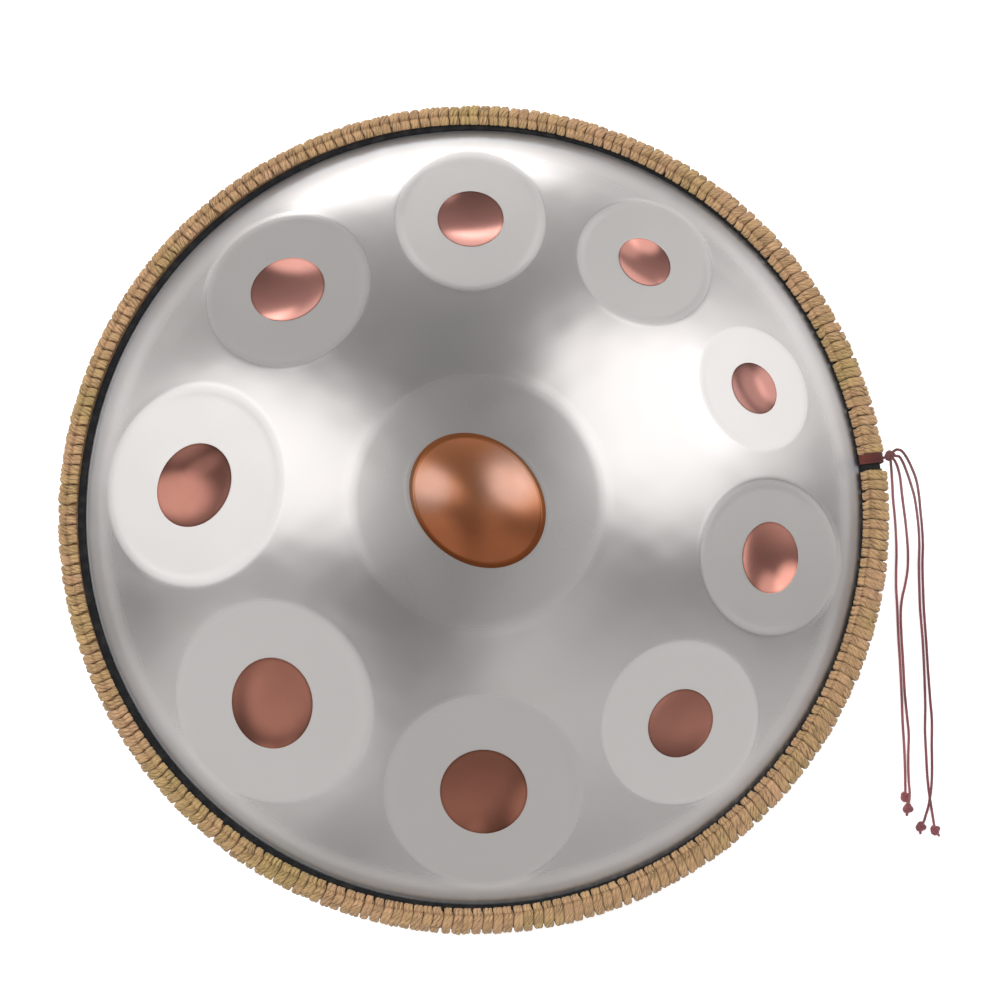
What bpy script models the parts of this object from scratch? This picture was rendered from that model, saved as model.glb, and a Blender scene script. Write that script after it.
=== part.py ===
"""Handpan: two steel shells glued at their flanges, with copper domes, a rope-bound rim and tail cords.

The pan lies on the flat ring around its port. +Z is up through the ding, the origin is the centre of
that ring, and the lowest note lies towards -Y. Everything is in metres.
"""

import math
from typing import NamedTuple

import bmesh
import bpy
from mathutils import Vector
from mathutils.geometry import delaunay_2d_cdt

# ---- driving dimensions ----
SHEET = 0.0012  # steel of both shells
GAP = 0.0003  # clearance between touching solids
SIDES = 60  # flats around every turned ring
BOWL_RADIUS = 0.2642  # where each dome meets the plane of its flange
FLANGE_RADIUS = 0.2795
TOP_RISE = 0.104
BOTTOM_RISE = 0.113
ROOT_BLEND = 0.003  # rounding between dome and flange
GLUE_THICKNESS = 0.0010
GLUE_INNER = 0.2690

REST_OUTER = 0.062  # flat ring that the pan rests on
REST_INNER = 0.055
PORT_RADIUS = 0.050
NECK_HEIGHT = 0.036
BOWL_STATIONS = (0.240, 0.205, 0.160, 0.110)  # radii that the bottom bowl's profile passes through

TRIM_INNER = 0.2670
TRIM_THICKNESS = 0.0015
ROPE_INNER = 0.2695
ROPE_RADIUS = 0.2853
ROPE_HALF_HEIGHT = 0.0074
WRAP_CORNER = 0.5  # bevel of a wrap's inner edge, as a share of its thickness outside the trim
WRAP_SHOULDER = (2.4, 2.0)  # bevel of its outer edge, inwards and down, in inner bevels
WRAP_GAP_BEARING = 7.5  # degrees, where the rope's two ends meet
WRAP_GAP_WIDTH = 2.3
BINDING_BEARING = 7.86
BINDING_WIDTH = 1.45
BINDING_RADIUS = 0.2846
BINDING_HALF_HEIGHT = 0.0065

DING_FIELD_RADIUS = 0.083
DING_FIELD_STEP = 0.0004  # height of the field around the ding over its outline on the plain dome
DING_FIELD_BOW = 0.77  # fall of that field per square of distance from its middle, 1/m
DING_LONG, DING_SHORT, DING_TURN = 0.048, 0.0394, 136.0  # half-lengths and bearing of the long axis
DING_HEIGHT = 0.011
DING_BRIM = 0.925  # share of the dome's outline inside its flat brim
SKIN = 0.0005  # copper skin on the ding and the dimples
SKIN_SHARE = 0.985  # keeps each skin just inside the crease around its dome

CORD_DIAMETER = 0.0019
CORD_POINTS = 60
CORD_SIDES_LEVEL = 2
CREASE_ANGLE = 35  # degrees, where smooth shading breaks


class Note(NamedTuple):
    """A tone field: bearing in degrees, lengths in metres, half-lengths for the field and its dimple."""

    name: str
    bearing: float
    radius: float
    radial: float
    tangential: float
    dimple_long: float
    dimple_short: float
    twist: float  # degrees from the tangent to the dimple's long axis


NOTES = (
    Note("dimple_1_low", 271.5, 0.188, 0.063, 0.065, 0.0290, 0.0280, -20),
    Note("dimple_2_lower_left", 224.0, 0.187, 0.064, 0.067, 0.0300, 0.0275, -40),
    Note("dimple_3_lower_right", 313.4, 0.197, 0.053, 0.055, 0.0237, 0.0214, 4),
    Note("dimple_4_left", 175.6, 0.188, 0.0625, 0.067, 0.0288, 0.0254, -26),
    Note("dimple_5_right", 350.4, 0.199, 0.0500, 0.0515, 0.0239, 0.0205, 5),
    Note("dimple_6_upper_left", 130.8, 0.1935, 0.0550, 0.056, 0.0256, 0.0232, -28),
    Note("dimple_7_upper_right", 23.4, 0.2035, 0.0385, 0.0435, 0.0184, 0.0158, 5),
    Note("dimple_8_top", 91.1, 0.195, 0.0545, 0.0500, 0.0224, 0.0218, -3),
    Note("dimple_9_top_right", 55.7, 0.2015, 0.0462, 0.0465, 0.0189, 0.0171, -10),
)
DIMPLE_DEPTH_SHARE = 0.2  # of the dimple's short half-length
FIELD_FLAT = 0.86  # share of a field's outline that is fully flat
FIELD_EDGE = 1.08  # where the dome's own curve takes over again
FIELD_BOW = 0.0005  # how far a tone field's flat crowns
SLOPE_STEP = 1e-5  # for slopes of the surface by differences

# ---- sizes that follow from them ----
HALF_GLUE = GLUE_THICKNESS / 2
FLANGE_LOW = HALF_GLUE + GAP  # inner face of either flange, from the joint's mid-plane
FLANGE_HIGH = FLANGE_LOW + SHEET
TRIM_LOW = FLANGE_HIGH + GAP
TRIM_HIGH = TRIM_LOW + TRIM_THICKNESS
TRIM_WEB = FLANGE_RADIUS + GAP
TRIM_RADIUS = TRIM_WEB + TRIM_THICKNESS


def sphere_radius(rise):
    """Radius of the sphere whose cap of this rise is as wide as the bowl."""
    return (BOWL_RADIUS**2 + rise**2) / (2 * rise)


def cap_height(radius, rise):
    """Height of a spherical cap over the flange plane; below zero outside the bowl."""
    ball = sphere_radius(rise)
    return math.sqrt(ball**2 - radius**2) - (ball - rise)


def rounded_max(a, b, blend):
    """The larger of two heights, with the corner between them rounded."""
    overlap = max(blend - abs(a - b), 0.0) / blend
    return max(a, b) + overlap * overlap * blend / 4


def bowl_height(radius, rise):
    """Height of a shell's outer face over its flange."""
    return rounded_max(cap_height(radius, rise), 0.0, ROOT_BLEND)


MID_PLANE = bowl_height(REST_OUTER, BOTTOM_RISE) + FLANGE_HIGH  # puts the rest ring at z = 0
TOP_BASE = MID_PLANE + FLANGE_HIGH  # outer face of the top flange


def fade(value, start, end):
    """Smooth step from 1 at start to 0 at end."""
    t = min(max((value - start) / (end - start), 0.0), 1.0)
    return 1 - t * t * (3 - 2 * t)


def turned(x, y, degrees):
    """Coordinates of (x, y) along and across an axis at this bearing."""
    c, s = math.cos(math.radians(degrees)), math.sin(math.radians(degrees))
    return x * c + y * s, y * c - x * s


def note_centre(note):
    angle = math.radians(note.bearing)
    return note.radius * math.cos(angle), note.radius * math.sin(angle)


def field_share(note, x, y):
    """0 at the field's centre, 1 on its outline; also the outward distance from its centre."""
    cx, cy = note_centre(note)
    out, across = turned(x - cx, y - cy, note.bearing)
    return math.hypot(out / note.radial, across / note.tangential), out


def dimple_share(note, x, y):
    cx, cy = note_centre(note)
    along, across = turned(x - cx, y - cy, note.bearing + 90 + note.twist)
    return math.hypot(along / note.dimple_long, across / note.dimple_short)


def ding_share(x, y):
    along, across = turned(x, y, DING_TURN)
    return math.hypot(along / DING_LONG, across / DING_SHORT)


def field_plane(note, out):
    """Height of the note's flat, which cuts the dome so that its outline stays on the dome."""
    ball = sphere_radius(TOP_RISE)
    slope = -note.radius / math.sqrt(ball**2 - note.radius**2)
    side = cap_height(math.hypot(note.radius, note.tangential), TOP_RISE)
    inner = cap_height(note.radius - note.radial, TOP_RISE) + slope * note.radial
    outer = cap_height(note.radius + note.radial, TOP_RISE) - slope * note.radial
    return (inner + outer + 2 * side) / 4 + slope * out


def top_height(x, y):
    """Height of the top shell's outer face over its flange, dimples and ding dome included."""
    radius = math.hypot(x, y)
    height = cap_height(radius, TOP_RISE)
    flat = fade(radius / DING_FIELD_RADIUS, FIELD_FLAT, FIELD_EDGE)
    level = cap_height(DING_FIELD_RADIUS, TOP_RISE) + DING_FIELD_STEP
    bowed = level + DING_FIELD_BOW * (DING_FIELD_RADIUS**2 - radius**2)
    height += flat * (bowed - height)
    for note in NOTES:
        share, out = field_share(note, x, y)
        crowned = field_plane(note, out) + FIELD_BOW * max(1 - share**2, 0)
        height += fade(share, FIELD_FLAT, FIELD_EDGE) * (crowned - height)
        dimple = dimple_share(note, x, y)
        if dimple < 1:
            height -= DIMPLE_DEPTH_SHARE * note.dimple_short * (1 - dimple**2)
    dome = ding_share(x, y) / DING_BRIM
    if dome < 1:
        height += DING_HEIGHT * (1 - dome**2)
    return rounded_max(height, 0.0, ROOT_BLEND)


def surface_point(x, y, lift=0.0):
    """A point on the top shell's outer face, lifted along the face's normal."""
    slope_x = (top_height(x + SLOPE_STEP, y) - top_height(x - SLOPE_STEP, y)) / (2 * SLOPE_STEP)
    slope_y = (top_height(x, y + SLOPE_STEP) - top_height(x, y - SLOPE_STEP)) / (2 * SLOPE_STEP)
    normal = Vector((-slope_x, -slope_y, 1)).normalized()
    return Vector((x, y, TOP_BASE + top_height(x, y))) + normal * lift


# ---- mesh helpers ----
def clear_scene():
    for item in list(bpy.data.objects):
        bpy.data.objects.remove(item)


def material(name, colour, roughness, metallic=0.0):
    made = bpy.data.materials.get(name) or bpy.data.materials.new(name)
    made.use_nodes = True
    shader = made.node_tree.nodes["Principled BSDF"]
    shader.inputs["Base Color"].default_value = (*colour, 1)
    shader.inputs["Roughness"].default_value = roughness
    shader.inputs["Metallic"].default_value = metallic
    return made


def add_mesh(name, bm, look):
    """Closes off a bmesh as a named, smooth-shaded object."""
    bmesh.ops.recalc_face_normals(bm, faces=bm.faces)
    mesh = bpy.data.meshes.new(name)
    bm.to_mesh(mesh)
    bm.free()
    mesh.shade_smooth()
    mesh.set_sharp_from_angle(angle=math.radians(CREASE_ANGLE))
    mesh.materials.append(look)
    made = bpy.data.objects.new(name, mesh)
    bpy.context.collection.objects.link(made)
    return made


def chord_share(degrees):
    """Share of a ring's corner radius at this bearing, on its flat between two corners."""
    step = 360 / SIDES
    from_middle = degrees % step - step / 2
    return math.cos(math.radians(step / 2)) / math.cos(math.radians(from_middle))


def turned_ring(name, profile, look, bearings=None):
    """Turns a closed (radius, z) profile about Z: a whole ring, or an arc between flat ends."""
    whole = bearings is None
    bearings = bearings or [360 / SIDES * i for i in range(SIDES)]
    bm = bmesh.new()
    loops = []
    for bearing in bearings:
        c, s = math.cos(math.radians(bearing)), math.sin(math.radians(bearing))
        share = chord_share(bearing)
        loops.append([bm.verts.new((r * share * c, r * share * s, z)) for r, z in profile])
    pairs = list(zip(loops, loops[1:] + loops[:1])) if whole else list(zip(loops, loops[1:]))
    for near, far in pairs:
        for i in range(len(profile)):
            j = (i + 1) % len(profile)
            bm.faces.new((near[i], near[j], far[j], far[i]))
    if not whole:
        bm.faces.new(loops[0])
        bm.faces.new(loops[-1])
    return add_mesh(name, bm, look)


def ellipse_points(cx, cy, long, short, degrees, share, count):
    points = []
    for i in range(count):
        angle = 2 * math.pi * i / count
        along, across = share * long * math.cos(angle), share * short * math.sin(angle)
        x, y = turned(along, across, -degrees)
        points.append((cx + x, cy + y))
    return points


# ---- shells ----
DIMPLE_RINGS = (0.36, 0.7, 1.0)
DING_RINGS = (0.32, 0.64, DING_BRIM, 1.0)
DIMPLE_SIDES = 18
DING_SIDES = 24
FIELD_SIDES = 22
ROOT_RINGS = (BOWL_RADIUS - ROOT_BLEND, BOWL_RADIUS, TRIM_INNER - GAP, FLANGE_RADIUS)
DOME_RINGS = ((0.106, 24), (0.128, 30), (0.152, 36), (0.222, 48), (0.244, 48))  # radius and points
FIELD_CLEARANCE = 1.19  # share of a field's outline that the dome's own points keep off


def dimple_ring(note, share):
    turn = note.bearing + 90 + note.twist
    cx, cy = note_centre(note)
    return ellipse_points(cx, cy, note.dimple_long, note.dimple_short, turn, share, DIMPLE_SIDES)


def ding_ring(share):
    return ellipse_points(0, 0, DING_LONG, DING_SHORT, DING_TURN, share, DING_SIDES)


def plan_rings():
    """Closed rings of plan points that the top shell's mesh has to follow."""
    rings = [ding_ring(share) for share in DING_RINGS]
    field = DING_FIELD_RADIUS
    for share in (FIELD_FLAT, FIELD_EDGE):
        rings.append(ellipse_points(0, 0, field, field, 0, share, SIDES // 2))
    for note in NOTES:
        rings += [dimple_ring(note, share) for share in DIMPLE_RINGS]
        cx, cy = note_centre(note)
        for share in (FIELD_FLAT, FIELD_EDGE):
            rings.append(
                ellipse_points(cx, cy, note.radial, note.tangential, note.bearing, share, FIELD_SIDES)
            )
    for radius in ROOT_RINGS:
        rings.append(ellipse_points(0, 0, radius, radius, 0, 1, SIDES))
    return rings


def loose_points():
    """Centres of the domes, and points that carry the dome's curve between the fields."""
    points = [(0.0, 0.0)] + [note_centre(note) for note in NOTES]
    for radius, count in DOME_RINGS:
        for x, y in ellipse_points(0, 0, radius, radius, 0, 1, count):
            if all(field_share(note, x, y)[0] > FIELD_CLEARANCE for note in NOTES):
                points.append((x, y))
    return points


def make_top_shell(look):
    """One pressed sheet: dome, nine flats with dimples, ding field and dome, and the flange."""
    plan, edges = [], []
    for ring in plan_rings():
        first = len(plan)
        plan += ring
        edges += [(first + i, first + (i + 1) % len(ring)) for i in range(len(ring))]
    plan += loose_points()
    found = delaunay_2d_cdt([Vector(p) for p in plan], edges, [], 0, 1e-7)
    points, triangles = found[0], found[2]
    bm = bmesh.new()
    outer = [bm.verts.new(surface_point(*p)) for p in points]
    inner = [bm.verts.new(surface_point(*p, -SHEET)) for p in points]
    rim = {}
    for a, b, c in triangles:
        bm.faces.new((outer[a], outer[b], outer[c]))
        bm.faces.new((inner[c], inner[b], inner[a]))
        for edge in ((a, b), (b, c), (c, a)):
            if edge[::-1] in rim:
                del rim[edge[::-1]]
            else:
                rim[edge] = True
    for a, b in rim:
        bm.faces.new((outer[b], outer[a], inner[a], inner[b]))
    return add_mesh("top_shell", bm, look)


def make_skin(name, centre, rings, look):
    """A thin copper skin lying on one dome of the top shell."""
    bm = bmesh.new()
    layers = []
    for lift in (GAP, GAP + SKIN):
        middle = bm.verts.new(surface_point(*centre, lift))
        layers.append((middle, [[bm.verts.new(surface_point(*p, lift)) for p in r] for r in rings]))
    count = len(rings[0])
    for middle, loops in layers:
        for i in range(count):
            j = (i + 1) % count
            bm.faces.new((middle, loops[0][i], loops[0][j]))
            for near, far in zip(loops, loops[1:]):
                bm.faces.new((near[i], far[i], far[j], near[j]))
    low, high = layers[0][1][-1], layers[1][1][-1]
    for i in range(count):
        j = (i + 1) % count
        bm.faces.new((low[i], low[j], high[j], high[i]))
    return add_mesh(name, bm, look)


def make_domes(copper):
    make_skin("ding_dome", (0, 0), [ding_ring(share * SKIN_SHARE) for share in DING_RINGS], copper)
    for note in NOTES:
        rings = [dimple_ring(note, share * SKIN_SHARE) for share in DIMPLE_RINGS]
        make_skin(note.name, note_centre(note), rings, copper)


def offset_profile(points, distance):
    """Points moved along the normals of an open (radius, z) profile."""
    moved = []
    for i, (r, z) in enumerate(points):
        before = Vector(points[max(i - 1, 0)])
        here = Vector((r, z))
        after = Vector(points[min(i + 1, len(points) - 1)])
        sides = [(b - a).normalized() for a, b in ((before, here), (here, after)) if (b - a).length]
        normals = [Vector((-side.y, side.x)) for side in sides]
        normal = sum(normals, Vector((0, 0))).normalized()
        moved.append(tuple(here + normal * distance / normal.dot(normals[0])))
    return moved


def make_bottom_shell(look):
    """A plain bowl whose flat foot turns inward and up into the port's neck."""
    under = [(FLANGE_RADIUS, MID_PLANE - FLANGE_HIGH), (TRIM_INNER, MID_PLANE - FLANGE_HIGH)]
    for radius in (BOWL_RADIUS, *BOWL_STATIONS, REST_OUTER):
        under.append((radius, MID_PLANE - FLANGE_HIGH - bowl_height(radius, BOTTOM_RISE)))
    turn = REST_INNER - PORT_RADIUS
    for degrees in (0, 45, 90):
        angle = math.radians(degrees)
        under.append((REST_INNER - turn * math.sin(angle), turn * (1 - math.cos(angle))))
    under.append((PORT_RADIUS, NECK_HEIGHT))
    over = offset_profile(under, -SHEET)
    return turned_ring("bottom_shell", under + over[::-1], look)


# ---- rim ----
def mirrored(profile):
    """A profile's upper half followed by its mirror image below the joint's mid-plane."""
    upper = [(r, MID_PLANE + z) for r, z in profile]
    lower = [(r, MID_PLANE - z) for r, z in profile]
    return upper + lower[::-1]


def make_glue(look):
    profile = [(GLUE_INNER, HALF_GLUE), (FLANGE_RADIUS - GAP, HALF_GLUE)]
    return turned_ring("rim_glue", mirrored(profile), look)


def make_trim(look):
    upper = [(TRIM_WEB, TRIM_LOW), (TRIM_INNER, TRIM_LOW), (TRIM_INNER, TRIM_HIGH), (TRIM_RADIUS, TRIM_HIGH)]
    closed = [(r, MID_PLANE + z) for r, z in upper] + [(r, MID_PLANE - z) for r, z in upper[::-1]]
    return turned_ring("edge_trim", closed, look)


def wrap_profile(inner, radius, half_height):
    """A rounded C that hugs the trim's upper leg, web and lower leg."""
    corner = (radius - TRIM_RADIUS) * WRAP_CORNER
    return mirrored(
        [
            (TRIM_RADIUS + GAP, TRIM_HIGH + GAP),
            (inner, TRIM_HIGH + GAP),
            (inner + corner, half_height),
            (radius - WRAP_SHOULDER[0] * corner, half_height),
            (radius, half_height - WRAP_SHOULDER[1] * corner),
        ]
    )


def arc_bearings(start, end):
    """Bearings from start to end with every corner of the rings between them."""
    step = 360 / SIDES
    first = math.floor(start / step) + 1
    corners = [i * step for i in range(first, math.ceil(end / step))]
    return [start, *corners, end]


def make_wraps(rope, thread):
    half = WRAP_GAP_WIDTH / 2
    profile = wrap_profile(ROPE_INNER, ROPE_RADIUS, ROPE_HALF_HEIGHT)
    whole_way = arc_bearings(WRAP_GAP_BEARING + half, WRAP_GAP_BEARING - half + 360)
    turned_ring("rope_wrap", profile, rope, whole_way)
    half = BINDING_WIDTH / 2
    profile = wrap_profile(ROPE_INNER, BINDING_RADIUS, BINDING_HALF_HEIGHT)
    short_way = arc_bearings(BINDING_BEARING - half, BINDING_BEARING + half)
    turned_ring("cord_binding", profile, thread, short_way)


# ---- tail cords ----
LIE = CORD_DIAMETER / 2 + GAP  # height of a cord's centreline where it lies on the surface
EXIT_KNOT = ((0.2860, 0.0402, 0.1130), (0.0036, 0.0040, 0.0038), 8.0)

CORDS = {
    "cord_inner_left": (
        (0.2870, 0.0360, 0.1114),
        (0.2880, 0.0315, 0.1080),
        (0.2900, 0.0265, 0.1000),
        (0.2930, 0.0210, 0.0870),
        (0.2975, 0.0140, 0.0670),
        (0.3035, 0.0040, 0.0430),
        (0.3090, -0.0080, 0.0200),
        (0.3120, -0.0205, 0.0065),
        (0.3125, -0.0330, 0.0020),
        (0.3125, -0.0460, LIE),
        (0.3130, -0.0590, LIE),
        (0.3135, -0.0800, LIE),
        (0.3145, -0.1020, LIE),
        (0.3152, -0.1230, LIE),
        (0.3156, -0.1430, LIE),
        (0.3164, -0.1610, LIE),
        (0.3168, -0.1770, LIE),
        (0.3168, -0.1870, LIE),
        (0.3166, -0.1938, 0.0022),
    ),
    "cord_inner_right": (
        (0.2892, 0.0370, 0.1136),
        (0.2915, 0.0325, 0.1120),
        (0.2950, 0.0265, 0.1030),
        (0.2990, 0.0200, 0.0880),
        (0.3045, 0.0120, 0.0670),
        (0.3110, 0.0020, 0.0430),
        (0.3170, -0.0085, 0.0200),
        (0.3205, -0.0200, 0.0065),
        (0.3210, -0.0320, 0.0020),
        (0.3192, -0.0430, LIE),
        (0.3168, -0.0530, LIE),
        (0.3156, -0.0640, LIE),
        (0.3158, -0.0800, LIE),
        (0.3168, -0.1020, LIE),
        (0.3176, -0.1230, LIE),
        (0.3190, -0.1400, LIE),
        (0.3200, -0.1530, LIE),
        (0.3194, -0.1680, LIE),
        (0.3192, -0.1800, 0.0016),
        (0.3189, -0.1880, 0.0040),
        (0.3186, -0.1950, 0.0076),
        (0.3183, -0.2000, 0.0072),
        (0.3182, -0.2024, 0.0058),
    ),
    "cord_outer_left": (
        (0.2900, 0.0398, 0.1152),
        (0.2918, 0.0390, 0.1170),
        (0.2940, 0.0360, 0.1162),
        (0.2978, 0.0305, 0.1100),
        (0.3035, 0.0235, 0.0965),
        (0.3108, 0.0155, 0.0755),
        (0.3178, 0.0065, 0.0510),
        (0.3242, -0.0040, 0.0270),
        (0.3282, -0.0150, 0.0100),
        (0.3293, -0.0275, 0.0028),
        (0.3296, -0.0400, LIE),
        (0.3299, -0.0600, LIE),
        (0.3314, -0.0840, LIE),
        (0.3322, -0.1080, LIE),
        (0.3325, -0.1320, LIE),
        (0.3320, -0.1500, LIE),
        (0.3325, -0.1670, LIE),
        (0.3330, -0.1820, LIE),
        (0.3340, -0.1940, LIE),
        (0.3355, -0.2050, LIE),
        (0.3366, -0.2130, 0.0015),
        (0.3370, -0.2172, 0.0022),
    ),
    "cord_outer_right": (
        (0.2880, 0.0428, 0.1164),
        (0.2900, 0.0438, 0.1188),
        (0.2930, 0.0425, 0.1202),
        (0.2965, 0.0382, 0.1188),
        (0.3012, 0.0325, 0.1115),
        (0.3076, 0.0253, 0.0968),
        (0.3141, 0.0170, 0.0752),
        (0.3203, 0.0080, 0.0512),
        (0.3264, -0.0025, 0.0282),
        (0.3306, -0.0140, 0.0112),
        (0.3319, -0.0265, 0.0030),
        (0.3323, -0.0400, LIE),
        (0.3327, -0.0600, LIE),
        (0.3340, -0.0840, LIE),
        (0.3350, -0.1060, LIE),
        (0.3362, -0.1270, LIE),
        (0.3372, -0.1430, LIE),
        (0.3368, -0.1600, LIE),
        (0.3366, -0.1740, 0.0020),
        (0.3360, -0.1850, 0.0032),
        (0.3348, -0.1950, 0.0041),
        (0.3330, -0.2050, 0.0036),
        (0.3308, -0.2130, 0.0024),
        (0.3299, -0.2160, 0.0024),
    ),
}
END_KNOTS = {  # centre, half-lengths and turn of the knot that ends each cord
    "cord_inner_left": ((0.3162, -0.1982, 0.0035), (0.0044, 0.0033, 0.0031), 12),
    "cord_inner_right": ((0.3180, -0.2068, 0.0037), (0.0042, 0.0036, 0.0033), -20),
    "cord_outer_left": ((0.3376, -0.2224, 0.0037), (0.0040, 0.0042, 0.0033), 25),
    "cord_outer_right": ((0.3272, -0.2200, 0.0037), (0.0046, 0.0038, 0.0033), -15),
}


def smooth_curve(route, samples_per_leg=24):
    """Dense points of a Catmull-Rom curve through the route's own points."""
    points = [Vector(p) for p in route]
    points = [points[0] * 2 - points[1], *points, points[-1] * 2 - points[-2]]
    dense = []
    for a, b, c, d in zip(points, points[1:], points[2:], points[3:]):
        for i in range(samples_per_leg):
            t = i / samples_per_leg
            place = 2 * b + (c - a) * t + (2 * a - 5 * b + 4 * c - d) * t**2
            dense.append((place + (3 * b - a - 3 * c + d) * t**3) / 2)
    dense.append(points[-2])
    for place in dense:
        place.z = max(place.z, LIE)
    return dense


def spaced_points(dense, count):
    """The same curve as evenly spaced points."""
    lengths = [0.0]
    for a, b in zip(dense, dense[1:]):
        lengths.append(lengths[-1] + (b - a).length)
    points, leg = [], 0
    for i in range(count):
        wanted = lengths[-1] * i / (count - 1)
        while leg < len(dense) - 2 and lengths[leg + 1] < wanted:
            leg += 1
        share = (wanted - lengths[leg]) / (lengths[leg + 1] - lengths[leg])
        points.append(dense[leg].lerp(dense[leg + 1], min(share, 1.0)))
    return points


def make_cord(name, route, look):
    curve = bpy.data.curves.new(name, "CURVE")
    curve.dimensions = "3D"
    curve.bevel_depth = CORD_DIAMETER / 2
    curve.bevel_resolution = CORD_SIDES_LEVEL
    curve.use_fill_caps = True
    spline = curve.splines.new("POLY")
    points = spaced_points(smooth_curve(route), CORD_POINTS)
    spline.points.add(len(points) - 1)
    for slot, place in zip(spline.points, points):
        slot.co = (*place, 1)
    curve.materials.append(look)
    made = bpy.data.objects.new(name, curve)
    bpy.context.collection.objects.link(made)
    return made


def make_knot(name, centre, half_lengths, degrees, look):
    bm = bmesh.new()
    bmesh.ops.create_icosphere(bm, subdivisions=2, radius=1)
    for vert in bm.verts:
        scaled = [a * b for a, b in zip(vert.co, half_lengths)]
        x, y = turned(scaled[0], scaled[1], -degrees)
        vert.co = Vector((x, y, scaled[2])) + Vector(centre)
    return add_mesh(name, bm, look)


def make_cords(look):
    make_knot("binding_knot", *EXIT_KNOT, look)
    for name, route in CORDS.items():
        make_cord(name, route, look)
        make_knot(name + "_knot", *END_KNOTS[name], look)


def main():
    clear_scene()
    steel = material("satin_steel", (0.60, 0.60, 0.59), 0.30, 1.0)
    copper = material("copper", (0.72, 0.36, 0.24), 0.25, 1.0)
    glue = material("glue", (0.55, 0.52, 0.45), 0.40)
    rubber = material("black_rubber", (0.02, 0.02, 0.02), 0.70)
    rope = material("tan_rope", (0.50, 0.34, 0.19), 0.90)
    thread = material("maroon_cord", (0.16, 0.04, 0.05), 0.60)
    make_top_shell(steel)
    make_bottom_shell(steel)
    make_domes(copper)
    make_glue(glue)
    make_trim(rubber)
    make_wraps(rope, thread)
    make_cords(thread)


main()
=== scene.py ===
"""Looks of the handpan: satin steel shells, copper domes, a rim hitched with twine and four tail cords.

Everything is in metres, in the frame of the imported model. Bearings are degrees from +X towards +Y.
"""

import math
from typing import NamedTuple

import bpy
import numpy as np
from mathutils import Matrix, Vector, kdtree
from mathutils.geometry import delaunay_2d_cdt


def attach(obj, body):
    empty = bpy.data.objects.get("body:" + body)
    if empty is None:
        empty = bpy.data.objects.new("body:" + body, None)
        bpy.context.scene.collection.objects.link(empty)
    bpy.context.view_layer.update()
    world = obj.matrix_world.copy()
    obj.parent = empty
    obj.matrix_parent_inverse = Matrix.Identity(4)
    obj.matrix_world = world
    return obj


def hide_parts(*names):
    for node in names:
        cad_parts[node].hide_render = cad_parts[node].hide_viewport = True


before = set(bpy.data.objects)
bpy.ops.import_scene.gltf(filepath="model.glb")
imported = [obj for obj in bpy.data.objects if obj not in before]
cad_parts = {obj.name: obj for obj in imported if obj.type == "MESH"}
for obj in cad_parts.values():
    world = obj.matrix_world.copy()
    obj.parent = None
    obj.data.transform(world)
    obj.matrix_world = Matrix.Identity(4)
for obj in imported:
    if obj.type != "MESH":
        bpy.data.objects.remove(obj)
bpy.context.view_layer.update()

# ---- sizes repeated from part.py ----
SHEET = 0.0012
GAP = 0.0003
BOWL_RADIUS = 0.2642
FLANGE_RADIUS = 0.2795
TOP_RISE = 0.104
BOTTOM_RISE = 0.113
ROOT_BLEND = 0.003
FOOT_BLEND = 0.0016  # of the top shell
GLUE_THICKNESS = 0.0010
REST_OUTER = 0.062
REST_INNER = 0.055
PORT_RADIUS = 0.050
NECK_HEIGHT = 0.036
TRIM_THICKNESS = 0.0015
ROPE_RADIUS = 0.2853
WRAP_GAP_BEARING = 7.5
WRAP_GAP_WIDTH = 2.3
BINDING_BEARING = 7.86
BINDING_RADIUS = 0.2846
BINDING_HALF_HEIGHT = 0.0065
DING_FIELD_RADIUS = 0.083
DING_FIELD_STEP = 0.0004
DING_FIELD_BOW = 0.77
DING_LONG, DING_SHORT, DING_TURN = 0.048, 0.0394, 136.0
DING_HEIGHT = 0.011
DING_BRIM = 0.925
CORD_DIAMETER = 0.0019
DIMPLE_DEPTH_SHARE = 0.2
FIELD_FLAT = 0.86
FIELD_EDGE = 1.08


class Note(NamedTuple):
    """A tone field: bearing in degrees, lengths in metres, half-lengths for the field and its dimple."""

    name: str
    bearing: float
    radius: float
    radial: float
    tangential: float
    dimple_long: float
    dimple_short: float
    twist: float  # turn of the dimple's long axis off the tangent


NOTES = (
    Note("dimple_1_low", 271.5, 0.188, 0.063, 0.065, 0.0290, 0.0280, -20),
    Note("dimple_2_lower_left", 224.0, 0.187, 0.064, 0.067, 0.0300, 0.0275, -40),
    Note("dimple_3_lower_right", 313.4, 0.197, 0.053, 0.055, 0.0237, 0.0214, 4),
    Note("dimple_4_left", 175.6, 0.188, 0.0625, 0.067, 0.0288, 0.0254, -26),
    Note("dimple_5_right", 350.4, 0.199, 0.0500, 0.0515, 0.0239, 0.0205, 5),
    Note("dimple_6_upper_left", 130.8, 0.1935, 0.0550, 0.056, 0.0256, 0.0232, -28),
    Note("dimple_7_upper_right", 23.4, 0.2035, 0.0385, 0.0435, 0.0184, 0.0158, 5),
    Note("dimple_8_top", 91.1, 0.195, 0.0545, 0.0500, 0.0224, 0.0218, -3),
    Note("dimple_9_top_right", 55.7, 0.2015, 0.0462, 0.0465, 0.0189, 0.0171, -10),
)

# ---- sizes that follow from them ----
FLANGE_LOW = GLUE_THICKNESS / 2 + GAP
FLANGE_HIGH = FLANGE_LOW + SHEET
TRIM_LOW = FLANGE_HIGH + GAP
TRIM_HIGH = TRIM_LOW + TRIM_THICKNESS
TRIM_WEB = FLANGE_RADIUS + GAP
TRIM_RADIUS = TRIM_WEB + TRIM_THICKNESS


# ---- the shells' shape ----
def cap_height(radius, rise):
    """Height of a spherical cap over the flange plane; below zero outside the bowl."""
    ball = (BOWL_RADIUS**2 + rise**2) / (2 * rise)
    return np.sqrt(ball**2 - radius**2) - (ball - rise)


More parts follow.
